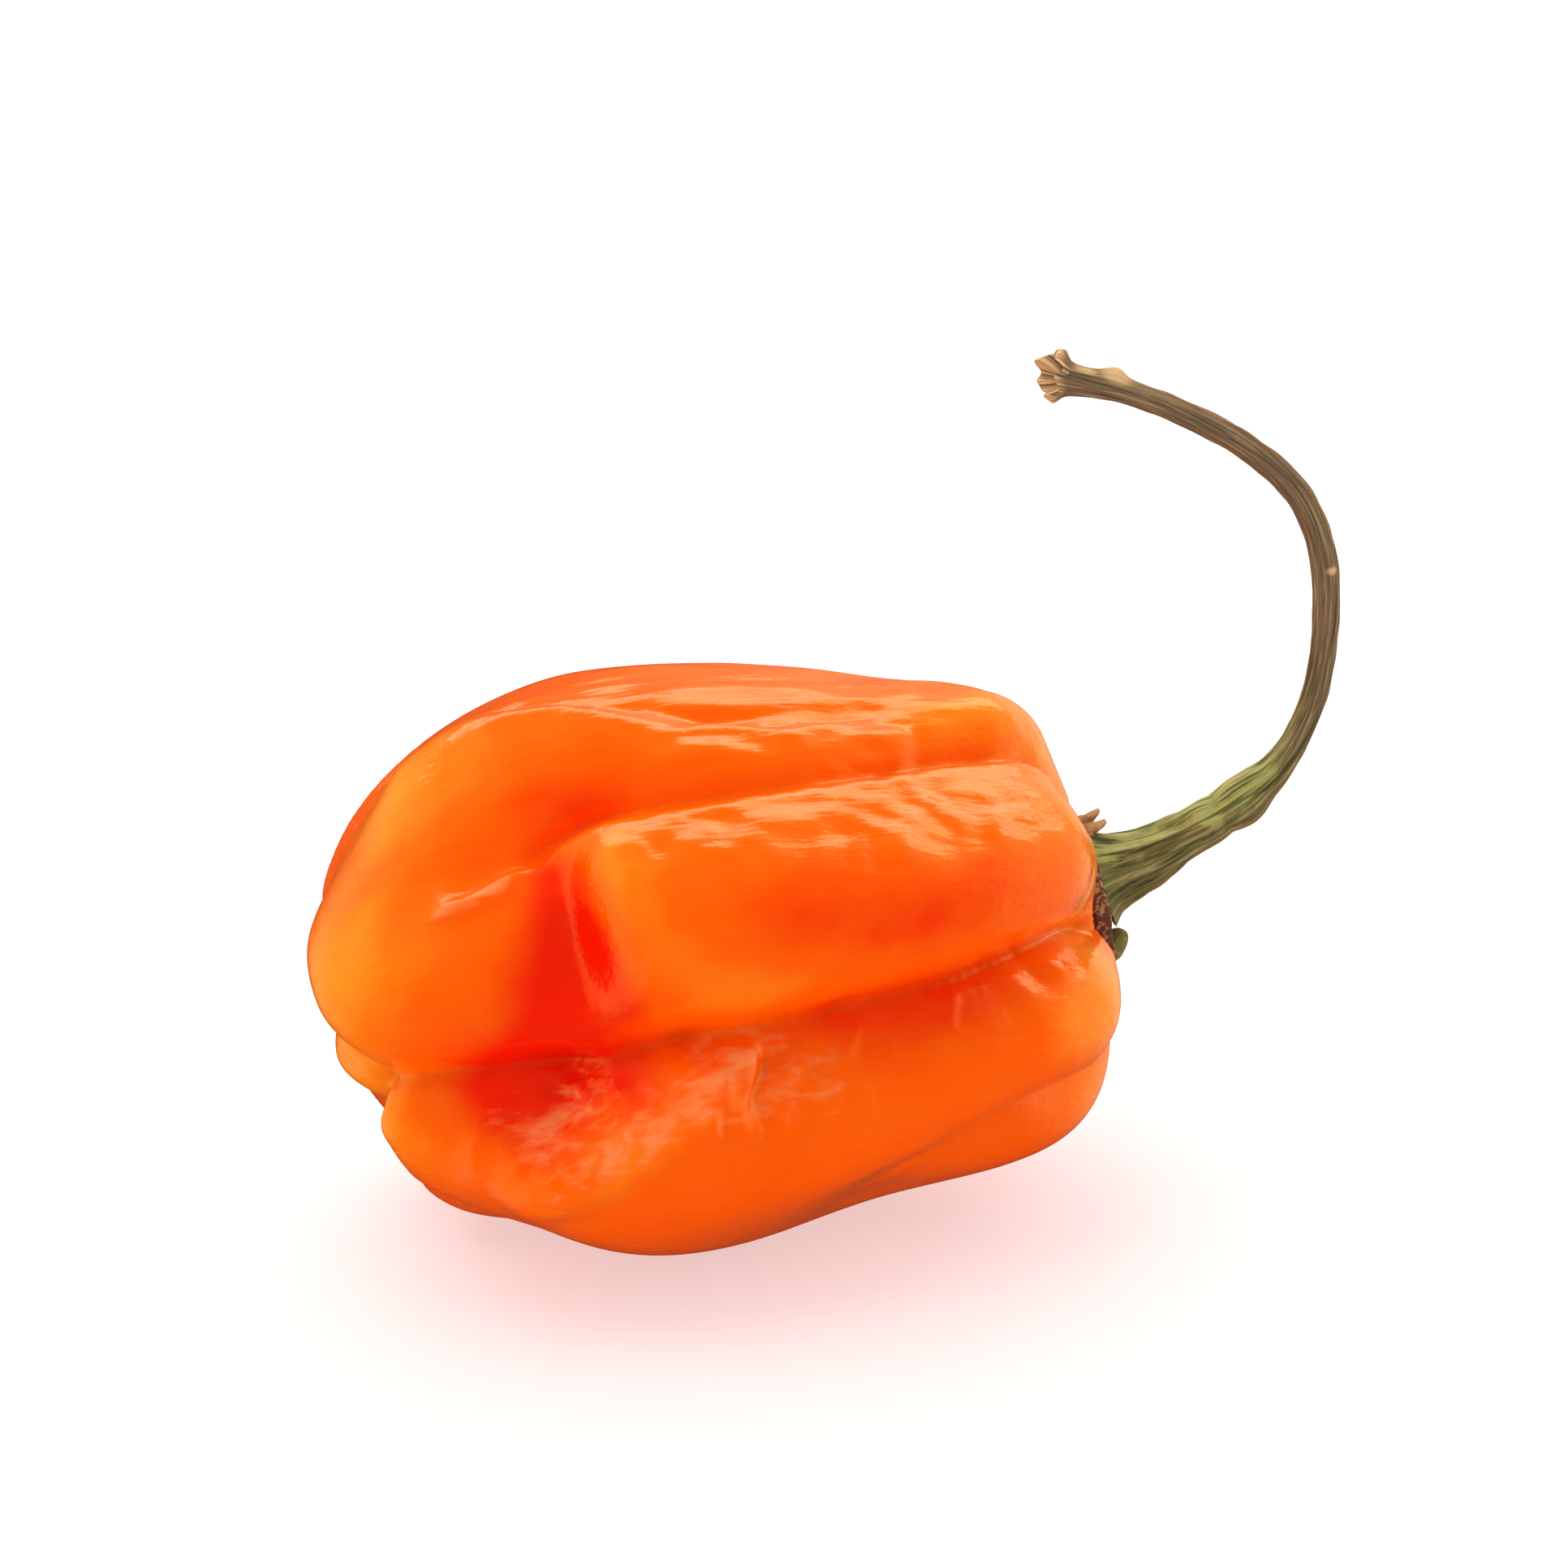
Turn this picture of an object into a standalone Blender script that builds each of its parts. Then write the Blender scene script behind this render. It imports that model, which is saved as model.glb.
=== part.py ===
"""Orange habanero chilli pepper, as picked and lying on its side.

Metres, +Z up. The pod's long axis runs along X, blossom end at -X and stem end at +X, and
the surface it rests on is z = 0. Three pieces grew on each other and are one node each:

  pod     the lobed fruit, one solid with no inner parts
  calyx   the dry brown collar with its lobes, between the fruit and the stem
  stem    the peduncle: a ribbed trumpet at the fruit, a knuckle, a long curve, a torn tip

A place on the pod is given by two angles. "along" runs from 0 at the blossom end to 180 at
the stem end. "around" is 0 on top, 90 on the front (-Y), 180 underneath and 270 at the back.
"""

import math

import bmesh
import bpy
import numpy as np
from mathutils import Matrix, Vector

MM = 0.001

# ---- Pod: the barrel before its lobes are pressed apart ----
POD_RADIUS = 16.4 * MM
POD_AXIS_HEIGHT = 15.4 * MM
BLOSSOM_HALF = 20.5 * MM
STEM_HALF = 22.5 * MM
BLOSSOM_BOX = 0.78
STEM_BOX = 0.71
TAPER = 0.16
BLOSSOM_DROOP = 3.0 * MM
STEM_DROOP = 0.7 * MM
STEM_END_LEAN = 0.03
AXIS_PITCH = math.radians(0.9)
# The spot under the pod that becomes the origin, measured from the barrel's own middle
REST_POINT = (-1.0 * MM, -3.0 * MM)
POD_SEGMENTS = 84
POD_RINGS = 52

# ---- Pod: creases between the lobes, as (along, around, reach mm, depth mm) ----
CREASES = {
    "top lobe to front lobe": [
        (170, 40, 2.5, -0.5), (158, 32, 4.0, -1.8), (147, 29, 4.5, -2.2), (136, 29, 4.4, -2.0),
        (122, 32, 3.4, -1.4), (110, 34, 2.4, -0.9), (97, 36, 2.2, -0.8), (87, 39, 3.4, -1.3),
        (78, 39, 5.0, -1.9), (69, 39, 5.2, -2.4), (61, 41, 4.8, -2.3), (53, 43, 4.2, -1.7),
        (45, 46, 3.5, -0.9), (36, 50, 3.0, -0.3),
    ],
    "front lobe to lower lobe": [
        (169, 84, 2.5, -0.6), (160, 76, 4.0, -1.8), (150, 70, 5.0, -2.6), (139, 70, 6.0, -3.2),
        (126, 74, 6.5, -3.2), (110, 80, 6.5, -2.8), (96, 81, 6.5, -2.6), (84, 82, 6.0, -2.4),
        (75, 82, 5.0, -1.8), (68, 81, 4.0, -1.0),
    ],
    "top lobe to lower lobe": [
        (20, 79, 3.5, -2.2), (30, 79, 4.5, -2.4), (40, 79, 5.0, -2.4), (49, 81, 5.0, -2.2),
        (61, 84, 5.0, -2.0), (70, 84, 5.0, -1.8), (79, 83, 5.0, -1.6),
    ],
    "lower lobe to bottom lobe": [
        (169, 108, 2.5, -0.5), (158, 108, 4.0, -1.6), (147, 107, 5.0, -2.4),
        (134, 110, 5.0, -2.2), (121, 112, 5.0, -1.6), (109, 116, 5.0, -1.0),
        (99, 124, 5.0, -0.4),
    ],
    "bottom lobe to back lobe": [
        (20, 80, 2.5, -1.6), (16, 94, 3.0, -2.0), (12, 115, 3.5, -2.4), (9, 150, 4.0, -2.6),
        (14, 195, 5.0, -2.4), (30, 205, 5.5, -2.2), (52, 196, 6.0, -2.2), (80, 188, 6.0, -1.8),
        (110, 184, 6.0, -2.0), (140, 176, 6.0, -2.4), (157, 165, 4.5, -1.8), (169, 150, 3.0, -0.5),
    ],
    "back lobe to upper back lobe": [
        (20, 78, 2.5, -1.4), (17, 68, 3.0, -2.0), (13, 52, 3.5, -2.4), (8, 20, 4.0, -2.4),
        (9, 320, 4.5, -2.4), (17, 278, 5.0, -2.4), (33, 258, 5.5, -2.2), (55, 250, 6.0, -2.2),
        (80, 252, 6.0, -2.2), (110, 252, 6.5, -2.4), (140, 246, 6.5, -2.8), (157, 242, 4.5, -1.8),
        (169, 240, 3.0, -0.5),
    ],
    "upper back lobe to top lobe": [
        (169, 315, 3.0, -0.5), (157, 308, 4.5, -1.8), (146, 304, 5.5, -2.4), (130, 302, 6.0, -2.0),
        (105, 304, 6.0, -1.2), (80, 302, 5.0, -0.6),
    ],
    "furrow along the top lobe": [
        (38, -26, 1.2, -0.2), (44, -18, 1.6, -0.5), (53, -5, 1.6, -0.6), (64, 5, 1.6, -0.6),
        (72, 8, 1.6, -0.5), (85, 15, 1.5, -0.4), (93, 21, 1.2, -0.2),
    ],
}

# ---- Pod: soft swellings (+) and hollows (-), as (along, around, reach mm, height mm) ----
SWELLINGS = {
    "blunt blossom shoulder": [(20, 42, 9.0, 4.9)],
    "back blossom shoulder": [(30, 292, 8.0, 1.9), (38, 345, 6.0, 0.5)],
    "cut away under the blossom end": [(20, 150, 7.0, -1.4), (40, 138, 6.0, -0.5)],
    "flattened belly": [(60, 165, 9.0, -2.9)],
    "keel": [(105, 155, 9.0, -0.15)],
    "bottom lobe heel": [(138, 140, 8.0, 1.7)],
    "top lobe shoulder at the stem": [(128, 5, 7.0, 1.7)],
    "valley between the lobes": [
        (60, 50, 2.8, -1.8), (60, 58, 3.8, -3.0), (60, 68, 4.4, -3.2), (60, 78, 3.4, -1.6),
    ],
    "step up to the front lobe": [
        (65, 50, 1.6, -0.7), (66, 58, 1.8, -1.1), (68, 66, 2.0, -1.1), (70, 74, 1.8, -0.7),
    ],
    "hollow in the lower lobe": [
        (38, 91, 4.0, -1.4), (50, 93, 4.5, -2.3), (60, 93, 4.5, -2.1), (70, 91, 4.0, -1.4),
    ],
    "ridge out of the hollow": [
        (53, 110, 2.2, 0.5), (66, 104, 2.0, 0.9), (76, 96, 2.0, 0.9), (83, 88, 1.8, 0.6),
    ],
    "lower lobe tip": [(20, 100, 3.0, 1.4), (20, 125, 4.0, 1.2)],
    "lower lobe crest": [
        (84, 112, 5.0, 1.0), (96, 109, 5.0, 1.2), (110, 103, 5.0, 1.2), (124, 97, 4.5, 1.2),
        (136, 92, 4.0, 0.8),
    ],
    "dip under the front lobe": [(88, 92, 2.5, -0.8), (101, 90, 2.5, -0.9), (116, 86, 2.5, -0.7)],
    "front lobe": [
        (72, 58, 4.5, 1.4), (85, 59, 5.5, 2.0), (98, 61, 6.0, 2.2), (114, 60, 6.0, 2.2),
        (130, 55, 5.5, 2.2), (142, 52, 5.0, 1.4),
    ],
    "top lobe nose": [(27, 64, 4.5, 1.6), (36, 62, 4.5, 1.4), (44, 60, 3.0, 0.5)],
    "top lobe overhang": [(44, 16, 5.0, 0.8), (54, 12, 5.0, 0.7)],
    "ridge beside the furrow": [
        (45, 1, 2.8, 0.6), (63, 9, 2.8, 1.0), (72, 14, 2.6, 1.0), (79, 22, 2.4, 0.8),
        (87, 28, 2.0, 0.5), (95, 31, 1.8, 0.3),
    ],
}
CREASE_POWER = 2.2
CREASE_ROUNDING = 0.06
SWELLING_FALLOFF = 1.6
STEPS_PER_SPAN = 9
# Degrees: how far either way a normal is measured, and how near to a pole it may be
NORMAL_STEP = 0.5
POLE_MARGIN = 0.8

# ---- Calyx: a collar of uneven lobes, seen from its own axis ----
COLLAR_CENTRE = (22.1 * MM, 0.0, 16.8 * MM)
STEM_LEAN_UP = math.radians(12)
STEM_TURN_FRONT = math.radians(10)
COLLAR_RADIUS = 3.7 * MM
COLLAR_THICKNESS = 1.5 * MM
COLLAR_SEGMENTS = 48
SEAT_GAP = 0.35 * MM
SEAT_RADIUS = 4.3 * MM
SEAT_SLOPE = 0.7
COLLAR_RINGS = 10
COLLAR_WALL_POWER = 0.6
# The outer part of the collar, from this share of its radius, is drawn out into the lobes
LOBE_START = 0.7
LOBE_POWER = 4
# Lobes as (angle from the top towards the front, half width in degrees, how far out mm, curl mm)
CALYX_LOBES = {
    "upper tooth": (8, 11, 0.9, 0.5),
    "back upper tooth": (-16, 9, 1.1, 0.7),
    "ear at the lower edge": (165, 17, 1.5, 0.9),
    "low front lobe": (95, 14, 0.5, 0.1),
    "back lobe": (238, 14, 1.1, 0.6),
    "back side lobe": (300, 12, 0.8, 0.4),
}

# ---- Stem: centre line and radius, from the trumpet at the calyx to the torn tip ----
STEM_ROUTE = [
    (23.12, -0.18, 17.3), (25.3, -0.6, 18.1), (27.7, -1.1, 19.5), (30.1, -1.6, 21.2),
    (33.0, -2.1, 23.9), (34.85, -2.4, 27.5), (35.45, -2.5, 31.8), (35.1, -2.4, 35.7),
    (33.6, -2.1, 39.4), (30.9, -1.8, 42.1), (27.1, -1.5, 44.4), (23.2, -1.2, 46.1),
    (19.1, -1.0, 47.4),
]
# Radius by distance from the calyx, both mm: trumpet, waist, knuckle, shoot, torn end
STEM_RADII = [
    (0.0, 3.1), (0.5, 2.65), (1.2, 2.1), (2.2, 1.75), (3.8, 1.45), (5.4, 1.2), (6.8, 1.24),
    (8.6, 1.18), (10.0, 1.05), (11.5, 0.96), (13.0, 0.84), (15.0, 0.78), (18.0, 0.75),
    (25.0, 0.77), (37.0, 0.69), (43.0, 0.62), (44.6, 0.75), (45.8, 1.15),
]
STEM_RIBS = 8
STEM_RIB_DEPTH = 0.09
STEM_STEPS = 68
STEM_SIDES = 24
ROUTE_STEPS_PER_SPAN = 24
# The trumpet bends sharply, so its first stretch takes more of the curve's points
TRUMPET_LENGTH = 4 * MM
TRUMPET_STEPS = 12


def wipe_scene():
    """Remove whatever the file opened with."""
    for obj in list(bpy.data.objects):
        bpy.data.objects.remove(obj, do_unlink=True)


def plain_material(name, colour, roughness, metallic=0.0):
    """A Principled material with one colour, in linear RGB."""
    material = bpy.data.materials.new(name)
    material.use_nodes = True
    shader = material.node_tree.nodes["Principled BSDF"]
    shader.inputs["Base Color"].default_value = (*colour, 1.0)
    shader.inputs["Roughness"].default_value = roughness
    shader.inputs["Metallic"].default_value = metallic
    return material


def smooth_path(knots, steps):
    """Catmull-Rom curve through rows of numbers, with the ends mirrored outwards."""
    knots = np.asarray(knots, float)
    if len(knots) == 1:
        return knots
    padded = np.vstack([2 * knots[0] - knots[1], knots, 2 * knots[-1] - knots[-2]])
    t = (np.arange(steps) / steps)[:, None]
    spans = []
    for a, b, c, d in zip(padded, padded[1:], padded[2:], padded[3:]):
        spans.append(0.5 * (2 * b + (c - a) * t + (2 * a - 5 * b + 4 * c - d) * t**2
                            + (3 * b - a - 3 * c + d) * t**3))
    return np.vstack(spans + [knots[-1:]])


def barrel(along, around):
    """Points of the smooth barrel: a box-like ellipsoid that tapers, droops and leans."""
    a, b = np.radians(along), np.radians(around)
    c, s = -np.cos(a), np.sin(a)
    box = BLOSSOM_BOX + (STEM_BOX - BLOSSOM_BOX) * (0.5 + 0.5 * c)
    x = np.sign(c) * np.abs(c) ** box * np.where(c < 0, BLOSSOM_HALF, STEM_HALF)
    t = x / STEM_HALF
    r = POD_RADIUS * np.abs(s) ** box * (1 - TAPER * t)
    x = x - STEM_END_LEAN * np.clip(t, 0, None) ** 2 * r * np.cos(b)
    y = -r * np.sin(b)
    z = r * np.cos(b) - np.where(t > 0, STEM_DROOP, BLOSSOM_DROOP) * t**2
    cos_p, sin_p = math.cos(AXIS_PITCH), math.sin(AXIS_PITCH)
    return np.stack([x * cos_p - z * sin_p, y, POD_AXIS_HEIGHT + x * sin_p + z * cos_p], -1)


def barrel_normals(along, around):
    """Outward unit normals of the barrel, from small steps either way."""
    inside = np.clip(along, POLE_MARGIN, 180 - POLE_MARGIN)
    down = barrel(inside + NORMAL_STEP, around) - barrel(inside - NORMAL_STEP, around)
    across = barrel(inside, around + NORMAL_STEP) - barrel(inside, around - NORMAL_STEP)
    normals = np.cross(down, across)
    normals /= np.linalg.norm(normals, axis=-1)[:, None]
    outward = barrel(along, around) - np.array([0, 0, POD_AXIS_HEIGHT])
    flip = np.sum(outward * normals, axis=-1) < 0
    normals[flip] *= -1
    return normals


def relief(points, track, is_crease):
    """Height in metres that one crease or swelling adds at each point of the barrel."""
    rows = np.asarray(track, float)
    knots = np.hstack([barrel(rows[:, 0], rows[:, 1]), rows[:, 2:4] * MM])
    nearest = np.full(len(points), np.inf)
    height = np.zeros(len(points))
    for x, y, z, reach, depth in smooth_path(knots, STEPS_PER_SPAN):
        distance = np.linalg.norm(points - (x, y, z), axis=1) / reach
        closer = distance < nearest
        nearest[closer] = distance[closer]
        height[closer] = depth
    if is_crease:
        rounded = np.sqrt(nearest**2 + CREASE_ROUNDING**2) - CREASE_ROUNDING
        return height * np.clip(1 - rounded, 0, None) ** CREASE_POWER
    return height * np.exp(-SWELLING_FALLOFF * nearest**2)


def collar_frame():
    """Matrix whose Z is the stem's first direction and whose X points up the collar."""
    out = Vector((math.cos(STEM_LEAN_UP) * math.cos(STEM_TURN_FRONT),
                  -math.cos(STEM_LEAN_UP) * math.sin(STEM_TURN_FRONT), math.sin(STEM_LEAN_UP)))
    front = out.cross(Vector((0, 0, 1))).normalized()
    up = front.cross(out).normalized()
    turn = Matrix((up, front, out)).transposed().to_4x4()
    return np.array(Matrix.Translation(COLLAR_CENTRE) @ turn)


def press_seat(points):
    """Sink the pod under the collar, so that the collar sits in a shallow seat."""
    frame = collar_frame()
    local = (points - frame[:3, 3]) @ frame[:3, :3]
    away = np.hypot(local[:, 0], local[:, 1])
    ceiling = SEAT_SLOPE * np.clip(away - SEAT_RADIUS, 0, None) - COLLAR_THICKNESS / 2 - SEAT_GAP
    local[:, 2] = np.minimum(local[:, 2], ceiling)
    return local @ frame[:3, :3].T + frame[:3, 3]


def pod_surface(along, around):
    """Points of the finished skin, flat where it rests on z = 0."""
    points = barrel(along, around)
    height = np.zeros(len(points))
    for track in CREASES.values():
        height += relief(points, track, True)
    for track in SWELLINGS.values():
        height += relief(points, track, False)
    points = press_seat(points + barrel_normals(along, around) * height[:, None])
    points[:, 2] = np.clip(points[:, 2], 0, None)
    return points


def mesh_points(mesh):
    """A mesh's vertices as an array of rows."""
    flat = np.empty(len(mesh.vertices) * 3, np.float32)
    mesh.vertices.foreach_get("co", flat)
    return flat.reshape(-1, 3).astype(float)


def set_mesh_points(mesh, points):
    """Move a mesh's vertices, then turn all its faces outwards."""
    mesh.vertices.foreach_set("co", points.astype(np.float32).ravel())
    shell = bmesh.new()
    shell.from_mesh(mesh)
    bmesh.ops.recalc_face_normals(shell, faces=shell.faces)
    shell.to_mesh(mesh)
    shell.free()
    mesh.shade_smooth()
    mesh.update()


def unit_sphere(name, segments, rings, collection, material):
    """A UV sphere of radius 1 as a named object in the part's collection."""
    mesh = bpy.data.meshes.new(name)
    shell = bmesh.new()
    bmesh.ops.create_uvsphere(shell, u_segments=segments, v_segments=rings, radius=1.0)
    shell.to_mesh(mesh)
    shell.free()
    obj = bpy.data.objects.new(name, mesh)
    mesh.materials.append(material)
    collection.objects.link(obj)
    return obj


def sphere_angles(mesh):
    """Degrees from the lower pole and degrees around, for each vertex of a unit sphere."""
    points = mesh_points(mesh)
    from_pole = np.degrees(np.arccos(np.clip(-points[:, 2], -1, 1)))
    around = np.degrees(np.arctan2(points[:, 1], points[:, 0])) % 360
    return from_pole, around


def build_pod(collection):
    """The fruit: a sphere whose poles become the blossom end and the stem end."""
    skin = plain_material("orange skin", (0.95, 0.16, 0.005), 0.28)
    pod = unit_sphere("pod", POD_SEGMENTS, POD_RINGS, collection, skin)
    along, around = sphere_angles(pod.data)
    set_mesh_points(pod.data, pod_surface(along, around))


def lobe_shape(around):
    """How far each lobe reaches out and curls up, in metres, by the angle round the collar."""
    reach = np.zeros(len(around))
    curl = np.zeros(len(around))
    for angle, half_width, out, lift in CALYX_LOBES.values():
        away = (around - angle + 180) % 360 - 180
        bell = np.exp(-((away / half_width) ** LOBE_POWER))
        reach += out * MM * bell
        curl += lift * MM * bell
    return reach, curl


def build_calyx(collection):
    """The collar: a flattened sphere whose rim is drawn out into lobes that curl away."""
    bark = plain_material("dry calyx", (0.13, 0.05, 0.025), 0.75)
    calyx = unit_sphere("calyx", COLLAR_SEGMENTS, COLLAR_RINGS, collection, bark)
    from_pole, around = sphere_angles(calyx.data)
    reach, curl = lobe_shape(around)
    spread = np.sin(np.radians(from_pole))
    side = -np.cos(np.radians(from_pole))
    edge = np.clip((spread - LOBE_START) / (1 - LOBE_START), 0, 1)
    radius = COLLAR_RADIUS * np.sqrt(spread) + reach * edge
    wall = np.sign(side) * np.abs(side) ** COLLAR_WALL_POWER
    height = wall * COLLAR_THICKNESS / 2 + curl * edge
    turn = np.radians(around)
    local = np.stack([radius * np.cos(turn), radius * np.sin(turn), height], -1)
    frame = collar_frame()
    set_mesh_points(calyx.data, local @ frame[:3, :3].T + frame[:3, 3])


def rib_profile(collection):
    """A closed wavy ring of radius 1 mm that the stem's curve sweeps along."""
    curve = bpy.data.curves.new("stem section", "CURVE")
    ring = curve.splines.new("POLY")
    ring.points.add(STEM_SIDES - 1)
    for index, point in enumerate(ring.points):
        turn = -2 * math.pi * index / STEM_SIDES
        radius = MM * (1 + STEM_RIB_DEPTH * math.cos(STEM_RIBS * turn))
        point.co = (radius * math.cos(turn), radius * math.sin(turn), 0, 1)
    ring.use_cyclic_u = True
    guide = bpy.data.objects.new("stem section", curve)
    guide.hide_render = True
    guide.display_type = "WIRE"
    collection.objects.link(guide)
    return guide


def build_stem(collection, guides):
    """The stem: a curve through its route, thick and thin by its radii, swept by the section."""
    wood = plain_material("stem bark", (0.16, 0.13, 0.05), 0.7)
    curve = bpy.data.curves.new("stem", "CURVE")
    curve.dimensions = "3D"
    curve.bevel_mode = "OBJECT"
    curve.bevel_object = rib_profile(guides)
    curve.use_fill_caps = True
    route = smooth_path(np.array(STEM_ROUTE) * MM, ROUTE_STEPS_PER_SPAN)
    run = np.concatenate([[0], np.cumsum(np.linalg.norm(np.diff(route, axis=0), axis=1))])
    knots = np.array(STEM_RADII)
    trumpet = np.linspace(0, TRUMPET_LENGTH, TRUMPET_STEPS, endpoint=False)
    shoot = np.linspace(TRUMPET_LENGTH, run[-1], STEM_STEPS - TRUMPET_STEPS)
    distances = np.concatenate([trumpet, shoot])
    spline = curve.splines.new("POLY")
    spline.points.add(len(distances) - 1)
    for point, distance in zip(spline.points, distances):
        place = [np.interp(distance, run, route[:, axis]) for axis in range(3)]
        point.co = (*place, 1)
        point.radius = float(np.interp(distance / MM, knots[:, 0], knots[:, 1]))
    curve.materials.append(wood)
    stem = bpy.data.objects.new("stem", curve)
    collection.objects.link(stem)


def build():
    wipe_scene()
    part = bpy.data.collections.new("chilli pepper")
    guides = bpy.data.collections.new("guides")
    bpy.context.scene.collection.children.link(part)
    bpy.context.scene.collection.children.link(guides)
    build_pod(part)
    build_calyx(part)
    build_stem(part, guides)
    for obj in part.objects:
        obj.location = (-REST_POINT[0], -REST_POINT[1], 0)


build()
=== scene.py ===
# %% [markdown]
# # An orange habanero chilli pepper
#
# The real thing is a ripe habanero that lies on its side: a glossy, lobed orange pod, a dry
# brown collar where it grew on its stalk, and a thin woody stalk that bends up and back over
# it to a torn tip. Its plain solids come first, as the frame that everything is fitted to.
# Each piece below is then modelled again with the fine forms and the finish that a real
# chilli has, and stands in the place of its plain solid.

# %% Load the plain solids
import math

import bpy
import numpy as np
from mathutils import Matrix, Vector, noise


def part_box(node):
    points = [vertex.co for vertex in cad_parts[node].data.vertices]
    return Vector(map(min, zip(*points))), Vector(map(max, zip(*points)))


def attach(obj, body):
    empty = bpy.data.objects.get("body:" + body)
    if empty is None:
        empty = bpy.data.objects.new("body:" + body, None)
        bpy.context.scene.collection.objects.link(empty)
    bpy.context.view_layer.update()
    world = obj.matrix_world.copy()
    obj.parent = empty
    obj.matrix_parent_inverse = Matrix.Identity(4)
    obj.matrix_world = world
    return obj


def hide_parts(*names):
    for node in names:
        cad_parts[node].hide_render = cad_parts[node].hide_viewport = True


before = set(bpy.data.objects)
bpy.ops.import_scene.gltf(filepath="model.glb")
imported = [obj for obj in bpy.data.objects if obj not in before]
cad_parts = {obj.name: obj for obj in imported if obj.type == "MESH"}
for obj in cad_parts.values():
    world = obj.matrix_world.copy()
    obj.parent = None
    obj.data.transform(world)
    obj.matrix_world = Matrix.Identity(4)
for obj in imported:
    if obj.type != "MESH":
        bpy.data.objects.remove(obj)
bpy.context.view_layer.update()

MM = 0.001
pod_low, pod_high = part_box("pod")
pod_middle = (pod_low + pod_high) / 2
print("pod box in mm", [round(side / MM, 1) for side in pod_high - pod_low])

# %% [markdown]
# ## The camera
#
# The chilli is seen with a long lens from a little above and from the left of its middle, so
# the lobes of the blossom end turn towards the viewer. A long lens keeps the near and the far
# end in proportion. The look point is measured from the middle of the pod's own box, because
# the stalk needs room above and to the right of it.

# %% Camera
VIEW_TURN = math.radians(-18)
VIEW_RISE = math.radians(20)
VIEW_DISTANCE = 244 * MM
LOOK_RIGHT = 4.65 * MM
LOOK_UP = 9.0 * MM
LENS_LENGTH = 100
SENSOR_WIDTH = 36
NEAREST_SEEN = 10 * MM

view_right = Vector((math.cos(VIEW_TURN), math.sin(VIEW_TURN), 0))
view_back = Vector((math.sin(VIEW_TURN) * math.cos(VIEW_RISE),
                    -math.cos(VIEW_TURN) * math.cos(VIEW_RISE), math.sin(VIEW_RISE)))
view_up = view_back.cross(view_right)

lens = bpy.data.cameras.new("long lens")
lens.lens = LENS_LENGTH
lens.sensor_width = SENSOR_WIDTH
lens.clip_start = NEAREST_SEEN
camera = bpy.data.objects.new("camera", lens)
bpy.context.scene.collection.objects.link(camera)
look_at = pod_middle + view_right * LOOK_RIGHT + view_up * LOOK_UP
camera.location = look_at + view_back * VIEW_DISTANCE
camera.rotation_euler = (-view_back).to_track_quat("-Z", "Y").to_euler()
bpy.context.scene.camera = camera
print("camera at", [round(value, 3) for value in camera.location])

# %% [markdown]
# ## Sums on a surface
#
# A finish is a tree of nodes, and much of it is arithmetic on numbers that change over the
# surface. It could be built node by node, but such sums are hard to read. So a `Field` wraps
# one output of a node and can be added and multiplied like any Python number.

# %% Fields
class Field:
    """A number that varies over a surface: arithmetic on it adds Math nodes."""

    def __init__(self, finish, socket):
        self.finish = finish
        self.socket = socket

    def combine(self, operation, first, second):
        """One Math node on two numbers, either of which may be a Field."""
        node = self.finish.node("ShaderNodeMath", {"operation": operation},
                                {0: first, 1: second})
        return Field(self.finish, node.outputs[0])

    def __add__(self, other):
        return self.combine("ADD", self, other)

    def __sub__(self, other):
        return self.combine("SUBTRACT", self, other)

    def __rsub__(self, other):
        return self.combine("SUBTRACT", other, self)

    def __mul__(self, other):
        return self.combine("MULTIPLY", self, other)

    __radd__ = __add__
    __rmul__ = __mul__


print("fields can be added, subtracted and multiplied")

# %% [markdown]
# ## Mixing a finish
#
# Every other kind of node comes from one method, which takes the node's settings first and
# then what goes into its sockets. The few kinds that each finish needs get plain names:
# grain is noise with blots of a known size, ease fades one thing in, tint lays one colour
# over another, and bump raises the surface.

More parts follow.
